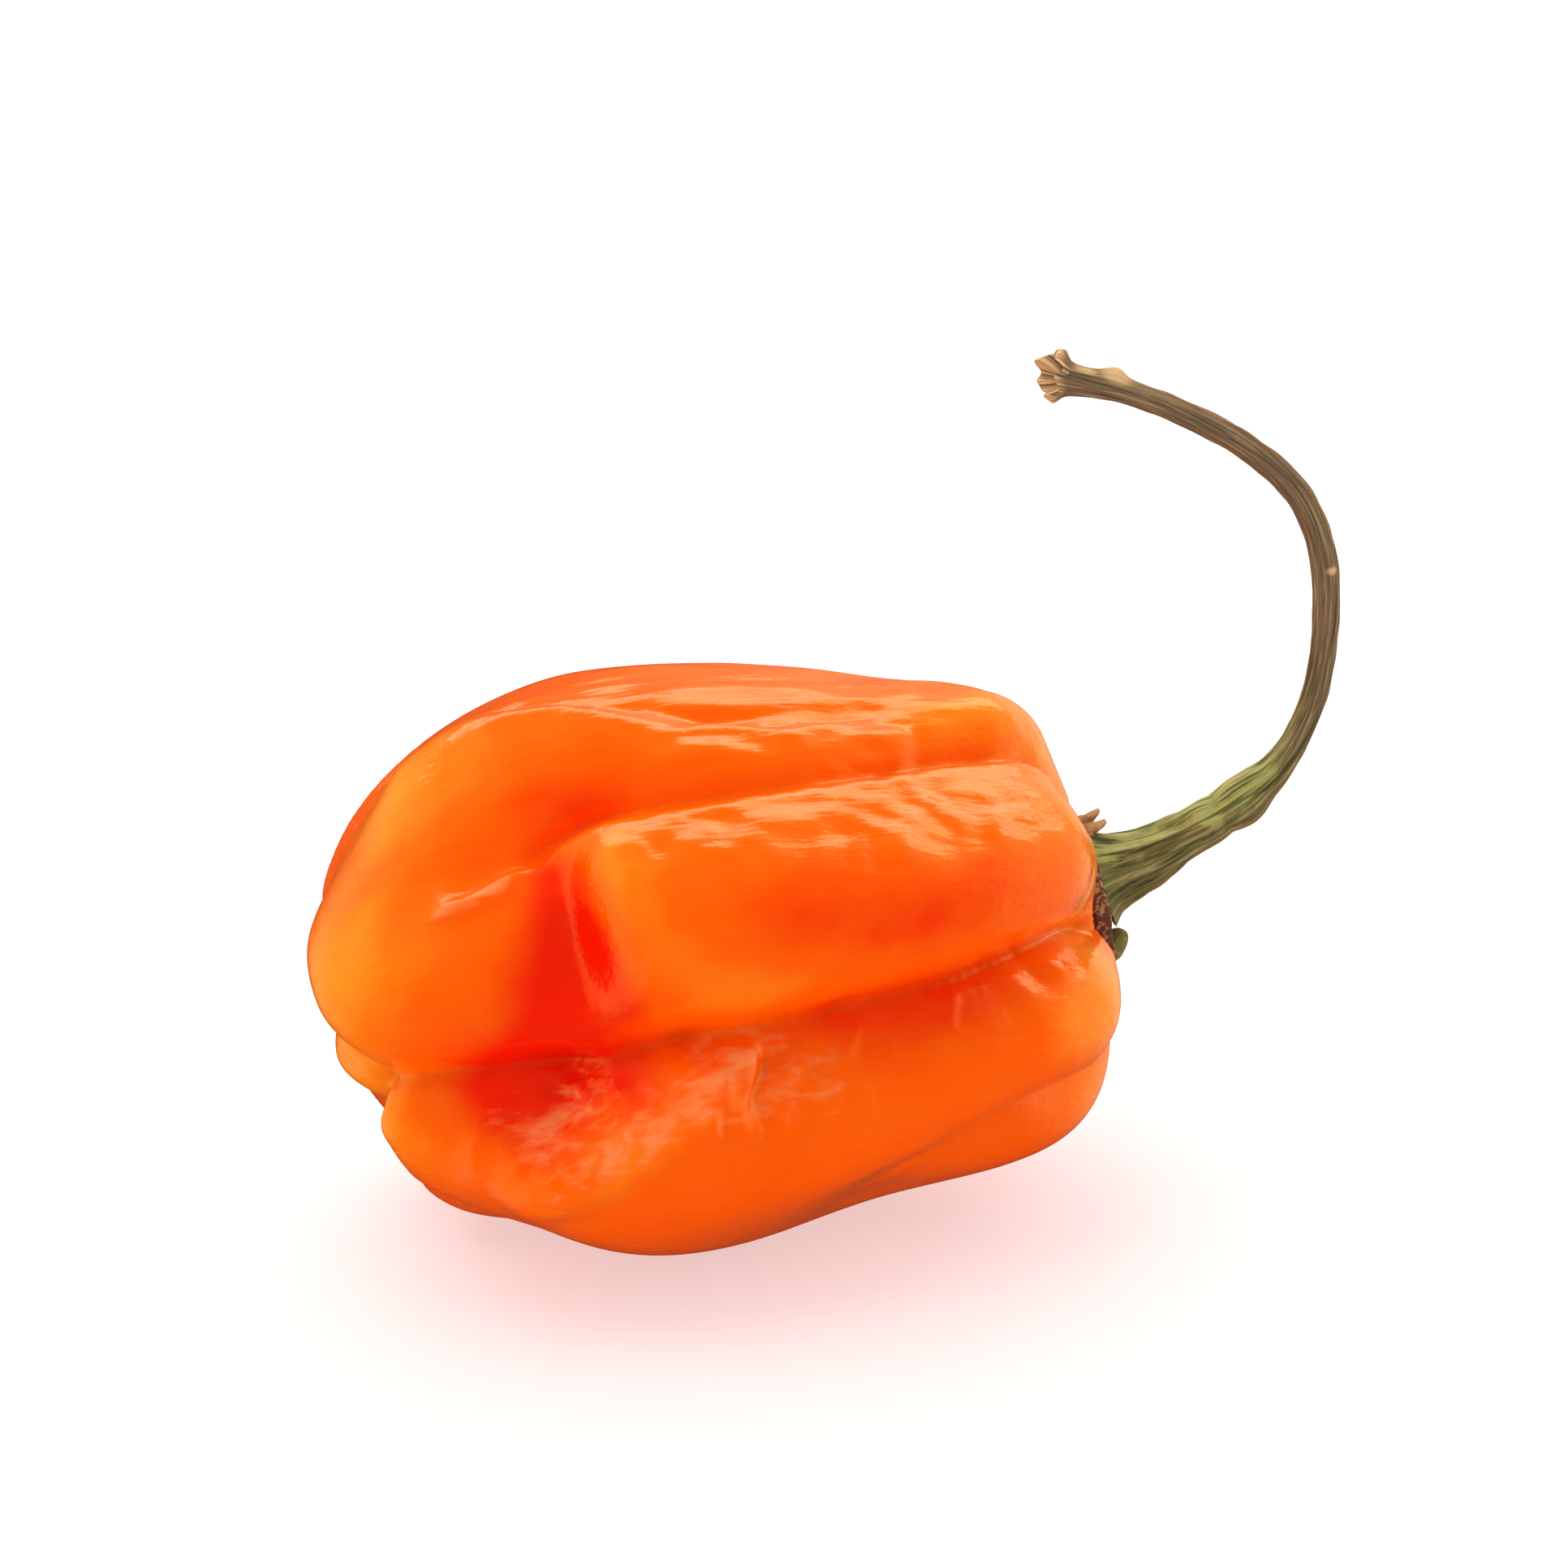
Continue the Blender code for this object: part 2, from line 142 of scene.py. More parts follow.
# %% Finishes
class Finish:
    """Adds nodes to one tree, and gives names to the few kinds that every finish uses."""

    def __init__(self, tree):
        self.tree = tree

    def node(self, kind, settings, sockets):
        """A node of that kind, with its settings made first and its sockets fed after."""
        added = self.tree.nodes.new(kind)
        for key, value in settings.items():
            setattr(added, key, value)
        for key, value in sockets.items():
            self.feed(added.inputs[key], value)
        return added

    def feed(self, socket, value):
        """Link a Field or an output to the socket, or set a plain value on it."""
        if isinstance(value, Field):
            self.tree.links.new(value.socket, socket)
        elif isinstance(value, bpy.types.NodeSocket):
            self.tree.links.new(value, socket)
        else:
            socket.default_value = value

    def attribute(self, name):
        """The number that the piece keeps on its points under that name."""
        node = self.node("ShaderNodeAttribute", {"attribute_name": name}, {})
        return Field(self, node.outputs["Fac"])

    def attribute_vector(self, name):
        """The three numbers that the piece keeps on its points under that name."""
        node = self.node("ShaderNodeAttribute", {"attribute_name": name}, {})
        return node.outputs["Vector"]

    def place(self):
        """Object coordinates, which are metres in the frame of the whole chilli."""
        return self.node("ShaderNodeTexCoord", {}, {}).outputs["Object"]

    def grain(self, where, size_mm, detail=2.0, distortion=0.0):
        """Soft noise from 0 to 1 whose blots are size_mm long along each axis."""
        scaled = self.node("ShaderNodeVectorMath", {"operation": "MULTIPLY"},
                           {0: where, 1: [1 / (size * MM) for size in size_mm]})
        node = self.node("ShaderNodeTexNoise", {},
                         {"Vector": scaled.outputs[0], "Scale": 1.0, "Detail": detail,
                          "Distortion": distortion})
        return Field(self, node.outputs["Fac"])

    def ease(self, field, start, end):
        """0 before start, 1 past end, and smooth between them."""
        node = self.node("ShaderNodeMapRange", {"interpolation_type": "SMOOTHSTEP"},
                         {"Value": field, "From Min": start, "From Max": end})
        return Field(self, node.outputs["Result"])

    def tint(self, factor, colour, other):
        """One colour where factor is 0, the other where it is 1."""
        node = self.node("ShaderNodeMix", {"data_type": "RGBA"},
                         {0: factor, 6: colour, 7: other})
        return node.outputs[2]

    def bump(self, height, depth_mm, strength, under=None):
        """A surface that rises by depth_mm where height is 1, laid over the one under it."""
        sockets = {"Height": height, "Distance": depth_mm * MM, "Strength": strength}
        if under is not None:
            sockets["Normal"] = under
        return self.node("ShaderNodeBump", {}, sockets).outputs["Normal"]


def new_finish(name, constants):
    """A Principled material: what is the same all over goes straight on its sockets."""
    material = bpy.data.materials.new(name)
    material.use_nodes = True
    shader = material.node_tree.nodes["Principled BSDF"]
    for key, value in constants.items():
        shader.inputs[key].default_value = value
    return material, shader, Finish(material.node_tree)


print("finishes can be mixed from grain, tints and bumps")

# %% [markdown]
# ## Light and surroundings
#
# The skin is as glossy as wax, so half of its look is what it mirrors. A studio would stand
# white walls and dark cards round it. Here the world's own nodes do that, because they can
# tell light that falls on the skin from light that the skin mirrors. What falls on it comes
# from all round, as in a white tent, a little weaker from the viewer's side. What it mirrors
# is a warm bright wall at the left and another at the right, with a dim backdrop and a dark
# floor, and that keeps the front a deep, saturated orange.

# %% Tent
TENT_LIGHT = 0.9
OPENING_LIGHT = 0.75
BACKDROP_GLOSS = 0.12
FLOOR_GLOSS = 0.05
LEFT_WALL_GLOSS = 0.9
RIGHT_WALL_GLOSS = 1.2
SEEN_LIGHT = 1.1
PLAIN_WHITE = (1, 1, 1, 1)
WARM_WALL = (1.0, 0.8, 0.5, 1)
OPENING_WAY = (view_back.x, view_back.y, 0.1)
# The right wall stands beside and behind the chilli, and reaches a little above it
RIGHT_WALL_WAY = view_right * 0.8 + Vector((-view_back.x, -view_back.y, 0.3)) * 0.62
# Each part of the tent begins and is full at these leans of a ray towards it. The backdrop's
# are leans towards the opening, so they are negative
OPENING_EDGE = (0.15, 0.85)
BACKDROP_EDGE = (-0.1, -0.8)
FLOOR_EDGE = (-0.1, 0.3)
LEFT_WALL_EDGE = (0.4, 0.9)
RIGHT_WALL_EDGE = (0.45, 0.95)

world = bpy.data.worlds.new("white tent")
bpy.context.scene.world = world
world.use_nodes = True
world.node_tree.nodes.clear()
tent = Finish(world.node_tree)
direction = tent.node("ShaderNodeTexCoord", {}, {}).outputs["Generated"]


def lean(way):
    """How far a ray leans towards a way: 1 straight along it, 0 across it, -1 against it."""
    dot = tent.node("ShaderNodeVectorMath", {"operation": "DOT_PRODUCT"}, {0: direction, 1: way})
    return Field(tent, dot.outputs["Value"])


facing = lean(OPENING_WAY)
lit = TENT_LIGHT - tent.ease(facing, *OPENING_EDGE) * (TENT_LIGHT - OPENING_LIGHT)
floor_part = tent.ease(lean((0, 0, -1)), *FLOOR_EDGE)
behind = floor_part * (FLOOR_GLOSS - BACKDROP_GLOSS) + BACKDROP_GLOSS
gloss = tent.ease(facing, *BACKDROP_EDGE) * behind
gloss = gloss + tent.ease(lean(-view_right), *LEFT_WALL_EDGE) * LEFT_WALL_GLOSS
gloss = gloss + tent.ease(lean(RIGHT_WALL_WAY), *RIGHT_WALL_EDGE) * RIGHT_WALL_GLOSS
rays = tent.node("ShaderNodeLightPath", {}, {})
seen = Field(tent, rays.outputs["Is Camera Ray"])
mirrored = Field(tent, rays.outputs["Is Glossy Ray"])
brightness = lit + mirrored * (gloss - lit)
brightness = brightness + seen * (SEEN_LIGHT - brightness)
light_colour = tent.tint(mirrored, PLAIN_WHITE, WARM_WALL)
backdrop = tent.node("ShaderNodeBackground", {}, {"Color": light_colour, "Strength": brightness})
tent.node("ShaderNodeOutputWorld", {}, {"Surface": backdrop.outputs[0]})
print("tent nodes", len(world.node_tree.nodes))

# %% [markdown]
# ## Soft panels
#
# Even light alone would leave the chilli flat, so three soft panels are added as area lights.
# The wide one at the back draws the long salmon highlights on the upper lobes, and it is the
# only one that the skin mirrors. One above lights the top and casts the soft shadow, and a
# weak one in front lifts the lobes that face the viewer.

# %% Panels
# Each panel: place, width and depth in metres, watts, and whether the skin mirrors it
PANELS = {
    "back panel": ((0.18, 0.33, 0.42), 1.0, 0.28, 1.65, True),
    "top panel": ((-0.16, 0.08, 0.48), 0.5, 0.5, 1.6, False),
    "front panel": ((-0.05, -0.42, 0.50), 0.5, 0.4, 0.3, False),
}


def soft_panel(name, place, width, depth, watts):
    """A rectangular light of that size that faces the middle of the pod."""
    lamp = bpy.data.lights.new(name, "AREA")
    lamp.shape = "RECTANGLE"
    lamp.size = width
    lamp.size_y = depth
    lamp.energy = watts
    panel = bpy.data.objects.new(name, lamp)
    bpy.context.scene.collection.objects.link(panel)
    panel.location = place
    aim = Vector(pod_middle) - Vector(place)
    panel.rotation_euler = aim.to_track_quat("-Z", "Y").to_euler()
    return panel


for name, (place, width, depth, watts, in_the_gloss) in PANELS.items():
    panel = soft_panel(name, place, width, depth, watts)
    panel.visible_glossy = in_the_gloss
print("panels", [item.name for item in bpy.data.lights])

# %% [markdown]
# ## The white sweep
#
# The chilli lies on a sheet of white paper that fades into the background, and only its soft,
# warm shadow shows where it touches. A plain white plane would turn grey, so this one gives
# some light of its own, and its paper is tinted so that the shadow comes out warm. The skin
# doesn't mirror it, since the tent above already says what the skin sees below.

# %% White sweep
SWEEP_SIDE = 4
PAPER = (0.54, 0.42, 0.40, 1)
PAPER_GLOW = 0.5

bpy.ops.object.select_all(action="DESELECT")
bpy.ops.mesh.primitive_plane_add(size=SWEEP_SIDE, location=(0, 0, 0))
floor = bpy.context.object
floor.name = "white_sweep"
paper = new_finish("white paper", {
    "Base Color": PAPER, "Roughness": 1.0, "Specular IOR Level": 0.0,
    "Emission Color": PLAIN_WHITE, "Emission Strength": PAPER_GLOW})[0]
floor.data.materials.append(paper)
floor.visible_glossy = False

bpy.context.scene.view_settings.view_transform = "Standard"
print("sweep side in metres", SWEEP_SIDE)

# %% [markdown]
# ## The shape of the pod
#
# A habanero is a hollow fruit with swollen lobes that press against each other in deep
# creases. It could be sculpted, but a formula keeps every form named and easy to move: the
# pod is a ball whose points are placed by two angles. "along" runs from 0 at the blossom end
# to 180 at the stem end, and "around" is 0 on top, 90 on the front, 180 underneath and 270 at
# the back. First comes a smooth barrel, boxier than an ellipsoid.

# %% Barrel
POD_RADIUS = 16.4 * MM
POD_AXIS_HEIGHT = 15.4 * MM
BLOSSOM_HALF = 20.5 * MM
STEM_HALF = 22.5 * MM
# How boxy each end is: 1 is an ellipsoid, and less is blunter
BLOSSOM_BOX = 0.78
STEM_BOX = 0.71
TAPER = 0.16
BLOSSOM_DROOP = 3.0 * MM
STEM_DROOP = 0.7 * MM
STEM_END_LEAN = 0.03
AXIS_PITCH = math.radians(0.9)
# The resting spot is the origin, and the barrel's own middle lies this far from it
BARREL_MIDDLE = np.array((1.0 * MM, 3.0 * MM, 0))


def barrel(along, around):
    """Points of the smooth barrel: it tapers, droops and leans a little."""
    a = np.radians(along)
    b = np.radians(around)
    c = -np.cos(a)
    s = np.sin(a)
    box = BLOSSOM_BOX + (STEM_BOX - BLOSSOM_BOX) * (0.5 + 0.5 * c)
    x = np.sign(c) * np.abs(c) ** box * np.where(c < 0, BLOSSOM_HALF, STEM_HALF)
    t = x / STEM_HALF
    r = POD_RADIUS * np.abs(s) ** box * (1 - TAPER * t)
    x = x - STEM_END_LEAN * np.clip(t, 0, None) ** 2 * r * np.cos(b)
    y = -r * np.sin(b)
    z = r * np.cos(b) - np.where(t > 0, STEM_DROOP, BLOSSOM_DROOP) * t**2
    cos_p = math.cos(AXIS_PITCH)
    sin_p = math.sin(AXIS_PITCH)
    points = np.stack([x * cos_p - z * sin_p, y, POD_AXIS_HEIGHT + x * sin_p + z * cos_p], -1)
    return points + BARREL_MIDDLE


print("middle of the top", barrel(np.array([90.0]), np.array([0.0])).round(4))

# %% [markdown]
# ## Which way is out
#
# Every form on the pod is raised or sunk along the barrel's normals. They could be read from
# a mesh, but the barrel is a formula, so the normal at any two angles is square to a small
# step along it and a small step round it.

# %% Normals of the barrel
NORMAL_STEP = 0.5
POLE_MARGIN = 0.8


def barrel_normals(along, around):
    """Outward unit normals of the barrel, from small steps either way."""
    inside = np.clip(along, POLE_MARGIN, 180 - POLE_MARGIN)
    down = barrel(inside + NORMAL_STEP, around) - barrel(inside - NORMAL_STEP, around)
    across = barrel(inside, around + NORMAL_STEP) - barrel(inside, around - NORMAL_STEP)
    normals = np.cross(down, across)
    normals /= np.linalg.norm(normals, axis=-1)[:, None]
    outward = barrel(along, around) - BARREL_MIDDLE - np.array([0, 0, POD_AXIS_HEIGHT])
    flip = np.sum(outward * normals, axis=-1) < 0
    normals[flip] *= -1
    return normals


print("normal on top", barrel_normals(np.array([90.0]), np.array([0.0])).round(2))

# %% [markdown]
# ## Creases between the lobes
#
# Where two lobes press together, the skin runs down into a crease. A crease could be cut with
# a tool, but here each is a path over the barrel, so it can bend and fade as a grown one
# does. A row holds the two angles, how far the crease reaches to each side and how deep it
# is, in millimetres. The path is a Catmull-Rom curve, so a dozen rows give a flowing line.

# %% Creases
CREASES = {
    "top lobe to front lobe": [
        (170, 32, 2.5, -0.5), (158, 23, 4.0, -1.8), (147, 19, 4.5, -2.2), (136, 20, 4.4, -2.0),
        (122, 25, 3.4, -1.4), (110, 28.5, 2.4, -0.9), (97, 33.5, 2.2, -0.8), (87, 35, 3.4, -1.3),
        (78, 33.5, 4.6, -1.9), (69, 31.5, 5.0, -2.4), (61, 33, 4.8, -2.3), (53, 37, 4.2, -1.7),
        (45, 41, 3.5, -0.9), (37, 46, 3.0, -0.3),
    ],
    "front lobe to lower lobe": [
        (169, 80, 2.5, -0.6), (160, 74, 4.0, -1.8), (150, 73.5, 5.0, -2.6), (139, 74, 6.0, -3.2),
        (126, 76.5, 6.5, -3.2), (110, 80.5, 6.5, -2.8), (96, 82.5, 6.5, -2.6),
        (84, 84, 6.0, -2.4), (75, 83, 5.0, -1.8), (68, 82, 4.0, -1.0),
    ],
    "top lobe to lower lobe": [
        (19, 80, 3.0, -1.6), (30, 79, 4.5, -2.3), (41, 81, 5.0, -2.4), (50, 83.5, 5.0, -2.2),
        (60, 85, 5.0, -2.0), (69, 85, 5.0, -1.8), (78, 84, 5.0, -1.6),
    ],
    "lower lobe to bottom lobe": [
        (169, 116, 2.5, -0.5), (157, 121, 4.0, -1.6), (147, 122, 4.6, -2.2),
        (134, 123, 4.6, -2.0), (121, 119, 4.6, -1.4), (109, 121, 4.6, -0.9), (99, 124, 4.6, -0.3),
    ],
    "bottom lobe to back lobe": [
        (19, 82, 2.0, -0.7), (16, 94, 3.0, -1.9), (12, 115, 3.5, -2.4), (9, 150, 4.0, -2.6),
        (14, 195, 5.0, -2.4), (30, 205, 5.5, -2.2), (52, 196, 6.0, -2.2), (80, 188, 6.0, -1.8),
        (110, 184, 6.0, -2.0), (140, 176, 6.0, -2.4), (157, 165, 4.5, -1.8),
        (169, 150, 3.0, -0.5),
    ],
    "back lobe to upper back lobe": [
        (18, 77, 2.0, -0.6), (17, 68, 3.0, -1.8), (13, 52, 3.5, -2.4), (8, 20, 4.0, -2.4),
        (9, 320, 4.5, -2.4), (17, 278, 5.0, -2.4), (33, 258, 5.5, -2.2), (55, 250, 6.0, -2.2),
        (80, 252, 6.0, -2.2), (110, 252, 6.5, -2.4), (140, 246, 6.5, -2.8), (157, 242, 4.5, -1.8),
        (169, 240, 3.0, -0.5),
    ],
    "upper back lobe to top lobe": [
        (169, 315, 3.0, -0.5), (157, 308, 4.5, -1.8), (146, 304, 5.5, -2.4),
        (130, 302, 6.0, -2.0), (105, 304, 6.0, -1.2), (80, 302, 5.0, -0.6),
    ],
    "furrow along the top lobe": [
        (38, -26, 1.2, -0.2), (44, -18, 1.6, -0.5), (53, -5, 1.6, -0.6), (64, 5, 1.6, -0.6),
        (72, 8, 1.6, -0.5), (85, 15, 1.5, -0.4), (93, 21, 1.2, -0.2),
    ],
}
CREASE_POWER = 2.2
CREASE_ROUNDING = 0.06
print(len(CREASES), "creases")

# %% [markdown]
# ## Grooves in the creases
#
# At the bottom of a real crease is a dark line where the two skins touch. It is a second,
# much narrower groove along the crease's floor. A tint could fake it, but a real groove also
# catches light on its edges and moves with the view.

# %% Grooves
GROOVES = {
    "under the top lobe": [
        (158, 23, 0.9, -0.4), (147, 19, 0.9, -0.45), (136, 20, 0.9, -0.45), (122, 25, 0.8, -0.4),
        (110, 28.5, 0.7, -0.3), (97, 33.5, 0.7, -0.25), (87, 35, 0.8, -0.3),
        (78, 33.5, 0.8, -0.35), (69, 31.5, 0.9, -0.3), (61, 33, 0.8, -0.25), (53, 37, 0.7, -0.15),
    ],
    "under the front lobe": [
        (160, 74, 0.9, -0.4), (150, 73.5, 1.0, -0.5), (139, 74, 1.0, -0.5),
        (126, 76.5, 1.0, -0.5), (110, 80.5, 1.0, -0.5), (96, 82.5, 1.0, -0.45),
        (84, 84, 0.9, -0.35), (76, 83, 0.8, -0.15),
    ],
    "under the blossom end": [
        (20, 81, 0.8, -0.3), (30, 79, 0.9, -0.5), (41, 81, 0.9, -0.45), (50, 83.5, 0.9, -0.3),
        (58, 85, 0.8, -0.1),
    ],
    "over the bottom lobe": [
        (157, 121, 0.9, -0.25), (147, 122, 0.9, -0.3), (134, 123, 0.9, -0.2),
        (121, 119, 0.8, -0.05),
    ],
    "round the blossom end": [
        (18, 84, 0.8, -0.1), (16, 94, 0.9, -0.4), (12, 115, 0.9, -0.4), (14, 195, 1.0, -0.4),
        (52, 196, 1.0, -0.3), (110, 184, 1.0, -0.3), (157, 165, 0.9, -0.3),
    ],
    "over the back lobe": [
        (18, 76, 0.8, -0.1), (13, 52, 0.9, -0.4), (9, 320, 1.0, -0.4), (33, 258, 1.0, -0.4),
        (80, 252, 1.0, -0.4), (140, 246, 1.0, -0.4), (157, 242, 0.9, -0.3),
    ],
}
GROOVE_POWER = 1.5
GROOVE_ROUNDING = 0.25
print(len(GROOVES), "grooves")

# %% [markdown]
# ## Following a path
#
# A form along a path needs three things: the curve through its rows, the nearest place on it
# for each point of the skin, and a profile that says how the form falls away to the sides.

# %% Paths and the profile of a crease
STEPS_PER_SPAN = 16


def smooth_path(knots, steps):
    """Catmull-Rom curve through rows of numbers, with the ends mirrored outwards."""
    knots = np.asarray(knots, float)
    if len(knots) == 1:
        return knots
    padded = np.vstack([2 * knots[0] - knots[1], knots, 2 * knots[-1] - knots[-2]])
    t = (np.arange(steps) / steps)[:, None]
    spans = []
    for a, b, c, d in zip(padded, padded[1:], padded[2:], padded[3:]):
        spans.append(0.5 * (2 * b + (c - a) * t + (2 * a - 5 * b + 4 * c - d) * t**2
                            + (3 * b - a - 3 * c + d) * t**3))
    return np.vstack(spans + [knots[-1:]])


def nearest_on(points, track):
    """For each point, how far the path is in reaches, and the path's height there."""
    rows = np.asarray(track, float)
    knots = np.hstack([barrel(rows[:, 0], rows[:, 1]), rows[:, 2:4] * MM])
    nearest = np.full(len(points), np.inf)
    height = np.zeros(len(points))
    for x, y, z, reach, depth in smooth_path(knots, STEPS_PER_SPAN):
        distance = np.linalg.norm(points - (x, y, z), axis=1) / reach
        closer = distance < nearest
        nearest[closer] = distance[closer]
        height[closer] = depth
    return nearest, height


def groove(nearest, height, rounding, power):
    """A valley with a floor as round as rounding says and sides that flatten outwards."""
    rounded = np.sqrt(nearest**2 + rounding**2) - rounding
    return height * np.clip(1 - rounded, 0, None) ** power


print("points on the first crease", len(smooth_path([*CREASES.values()][0], STEPS_PER_SPAN)))

# %% [markdown]
# ## Swellings and hollows
#
# Between the creases the lobes bulge and sag. Each form here is a soft bump along a path, up
# or down, and falls away like a bell curve. One row alone is a round swelling. Proportional
# editing by hand would give the same soft falloff, but rows can be read and changed later.

# %% Swellings
SWELLINGS = {
    "blunt blossom shoulder": [(20, 42, 9.0, 4.9)],
    "back blossom shoulder": [(30, 292, 8.0, 1.9), (38, 345, 6.0, 0.5)],
    "cut away under the blossom end": [(20, 150, 7.0, -1.4), (46, 142, 6.0, -1.0)],
    "cut away under the lower lobe tip": [(30, 134, 6.0, -0.4), (40, 147, 7.0, -1.0)],
    "slimmer underside": [(98, 141, 5.5, -0.9)],
    "flattened belly": [(60, 165, 9.0, -2.9)],
    "keel": [(105, 155, 9.0, -0.15)],
    "bottom lobe heel": [(138, 140, 8.0, 1.7)],
    "top lobe shoulder at the stem": [(131, 9, 7.0, 1.9)],
    "valley between the lobes": [
        (59, 46, 2.6, -1.4), (57, 56, 3.6, -2.4), (54, 67, 5.2, -2.8), (52, 77, 4.6, -1.4),
    ],
    "step up to the front lobe": [
        (61, 47, 2.4, -0.6), (61, 57, 2.8, -1.0), (63, 66, 3.0, -1.0), (66, 75, 2.8, -0.6),
    ],
    "hollow in the lower lobe": [
        (36, 90, 4.0, -1.2), (46, 92, 4.2, -2.5), (56, 93, 4.2, -2.8), (66, 92, 3.6, -1.6),
    ],
    "lower wall of the hollow": [(40, 107, 2.6, 0.4), (50, 108, 2.6, 0.8), (60, 105, 2.4, 0.6)],
    "ridge out of the hollow": [
        (50, 114, 2.2, 0.5), (58, 107, 2.0, 0.9), (67, 102, 2.0, 1.0), (77, 96, 2.0, 1.0),
        (84, 89, 1.8, 0.7),
    ],
    "lower lobe tip": [(20, 101, 3.0, 1.7), (21, 122, 4.0, 1.4)],
    "lower lobe crest": [
        (84, 112, 5.0, 1.0), (96, 109, 5.0, 1.2), (110, 103, 5.0, 1.2), (124, 97, 4.5, 1.2),
        (136, 92, 4.0, 0.8),
    ],
    "dip under the front lobe": [(88, 92, 2.5, -0.8), (101, 90, 2.5, -0.9), (116, 86, 2.5, -0.7)],
    "upper left shoulder of the front lobe": [(73, 45, 3.2, 0.7)],
    "front lobe": [
        (72, 56, 4.5, 1.4), (85, 58, 5.5, 2.0), (98, 60, 6.0, 2.2), (114, 59, 6.0, 2.2),
        (130, 55, 5.5, 2.2), (142, 52, 5.0, 1.4),
    ],
    "stem end of the front lobe": [(157, 62, 3.6, -0.9), (145, 40, 3.5, -0.8)],
    "stem end of the lower lobe": [(139, 110, 4.5, 0.5)],
    "stem end of the top lobe": [(152, 14, 4.5, -0.2)],
    "shelf over the front lobe": [(112, 20, 3.0, 0.3), (124, 17, 3.0, 0.6), (134, 14, 3.0, 0.4)],
    "top lobe nose": [(27, 64, 4.5, 1.6), (36, 62, 4.5, 1.4), (44, 60, 3.0, 0.5)],
    "top lobe overhang": [(44, 12, 5.0, 1.2), (54, 8, 5.0, 0.9)],
    "ridge beside the furrow": [
        (45, 1, 2.8, 0.6), (63, 9, 2.8, 1.0), (72, 14, 2.6, 1.0), (79, 22, 2.4, 0.8),
        (87, 28, 2.0, 0.5), (95, 31, 1.8, 0.3),
    ],
}
SWELLING_FALLOFF = 1.6


def bell(nearest, height):
    """A soft bump that is height tall on its path."""
    return height * np.exp(-SWELLING_FALLOFF * nearest**2)


print(len(SWELLINGS), "swellings")

# %% [markdown]
# ## Small folds and puckers
#
# Ripe skin is thin and slightly shrunken, so light catches on many small folds: a forked
# ridge above the valley, puckers under the front lobe, folds on top, and pits where two lobes
# pull at the skin. They are the same bells, only a millimetre wide, since a bump in the
# finish alone would vanish at the outline and from the mesh.

# %% Small folds
FOLDS = {
    "forked ridge": [
        (39, 45.5, 0.6, 0.25), (42, 44, 0.7, 0.6), (46, 42.5, 0.75, 0.7), (52, 39, 0.7, 0.35),
    ],
    "fork of the ridge": [(41, 39, 0.5, 0.3), (42, 44, 0.6, 0.5)],
    "dip over the fork": [(40, 38, 1.3, -0.3), (45, 37, 1.6, -0.5), (50, 34, 1.4, -0.4)],
    "hollow under the fork": [(42, 49, 1.3, -0.4), (49, 46, 1.6, -0.6)],
    "lip of the front lobe": [
        (60, 37, 0.7, 0.2), (68, 37, 0.8, 0.35), (76, 38, 0.9, 0.35), (88, 38.5, 0.9, 0.3),
        (100, 35.5, 0.9, 0.3), (108, 31.5, 0.9, 0.3), (118, 29, 1.0, 0.3), (128, 26, 1.1, 0.3),
        (140, 24, 1.1, 0.2),
    ],
    "tall pucker": [(91, 89, 0.55, 0.3), (88, 96, 0.6, 0.4), (89, 102, 0.6, 0.2)],
    "groove between the puckers": [
        (90, 88, 0.5, -0.25), (86, 95, 0.5, -0.35), (87, 101, 0.5, -0.2),
    ],
    "pucker beside it": [(86, 92, 0.5, 0.2), (84, 97, 0.5, 0.25), (84, 101, 0.5, 0.1)],
    "left pucker": [(83, 87, 0.8, 0.2), (81, 92, 0.8, 0.3), (79, 97, 0.8, 0.2)],
    "short pucker": [(95, 88, 0.5, 0.25), (93, 93, 0.5, 0.2)],
    "nick under the front lobe": [(109, 85, 0.5, 0.25), (107, 90, 0.5, 0.25)],
    "pucker at the far end": [(128, 80, 0.9, 0.3), (132, 82, 0.9, 0.3)],
    "pit at the far end": [(126, 82, 1.3, -0.6)],
    "drop": [(95, 50, 0.5, 0.12), (94, 56, 0.5, 0.12)],
    "front lobe dimple": [(76, 47, 0.9, -0.15)],
    "front lobe ripple": [
        (78, 47, 1.6, -0.18), (86, 51, 1.6, 0.12), (93, 49, 1.6, -0.18), (99, 52, 1.6, 0.14),
        (106, 50, 1.6, -0.14), (114, 51, 1.6, 0.12), (122, 48, 1.6, -0.1),
    ],
    "top fold": [
        (87, 20, 1.0, 0.25), (92, 23, 1.0, 0.3), (99, 22, 1.0, 0.3), (105, 23, 1.0, 0.15),
    ],
    "second top fold": [(92, 27, 0.9, 0.25), (99, 26, 0.9, 0.3), (106, 25, 0.9, 0.2)],
    "dip beside the top folds": [(88, 16, 1.6, -0.3), (96, 17, 1.6, -0.25), (103, 17, 1.2, -0.1)],
    "top pit": [(109, 27, 1.6, -0.3), (114, 25, 1.6, -0.25)],
    "top hump": [(106, 21, 2.6, 0.3), (113, 17, 3.0, 0.4), (121, 17, 3.0, 0.4)],
    "dent behind the hump": [(119, 22, 1.8, -0.35), (123, 20, 1.8, -0.2)],
    "upper ripple": [
        (84, 10, 1.3, 0.2), (90, 8, 1.3, 0.25), (100, 8, 1.3, 0.25), (110, 8, 1.3, 0.2),
    ],
    "scratch": [(99, 129, 0.35, -0.08), (101, 125, 0.35, -0.1), (105, 124, 0.35, -0.08)],
    "blossom scar": [(12, 74, 1.0, -0.3)],
}
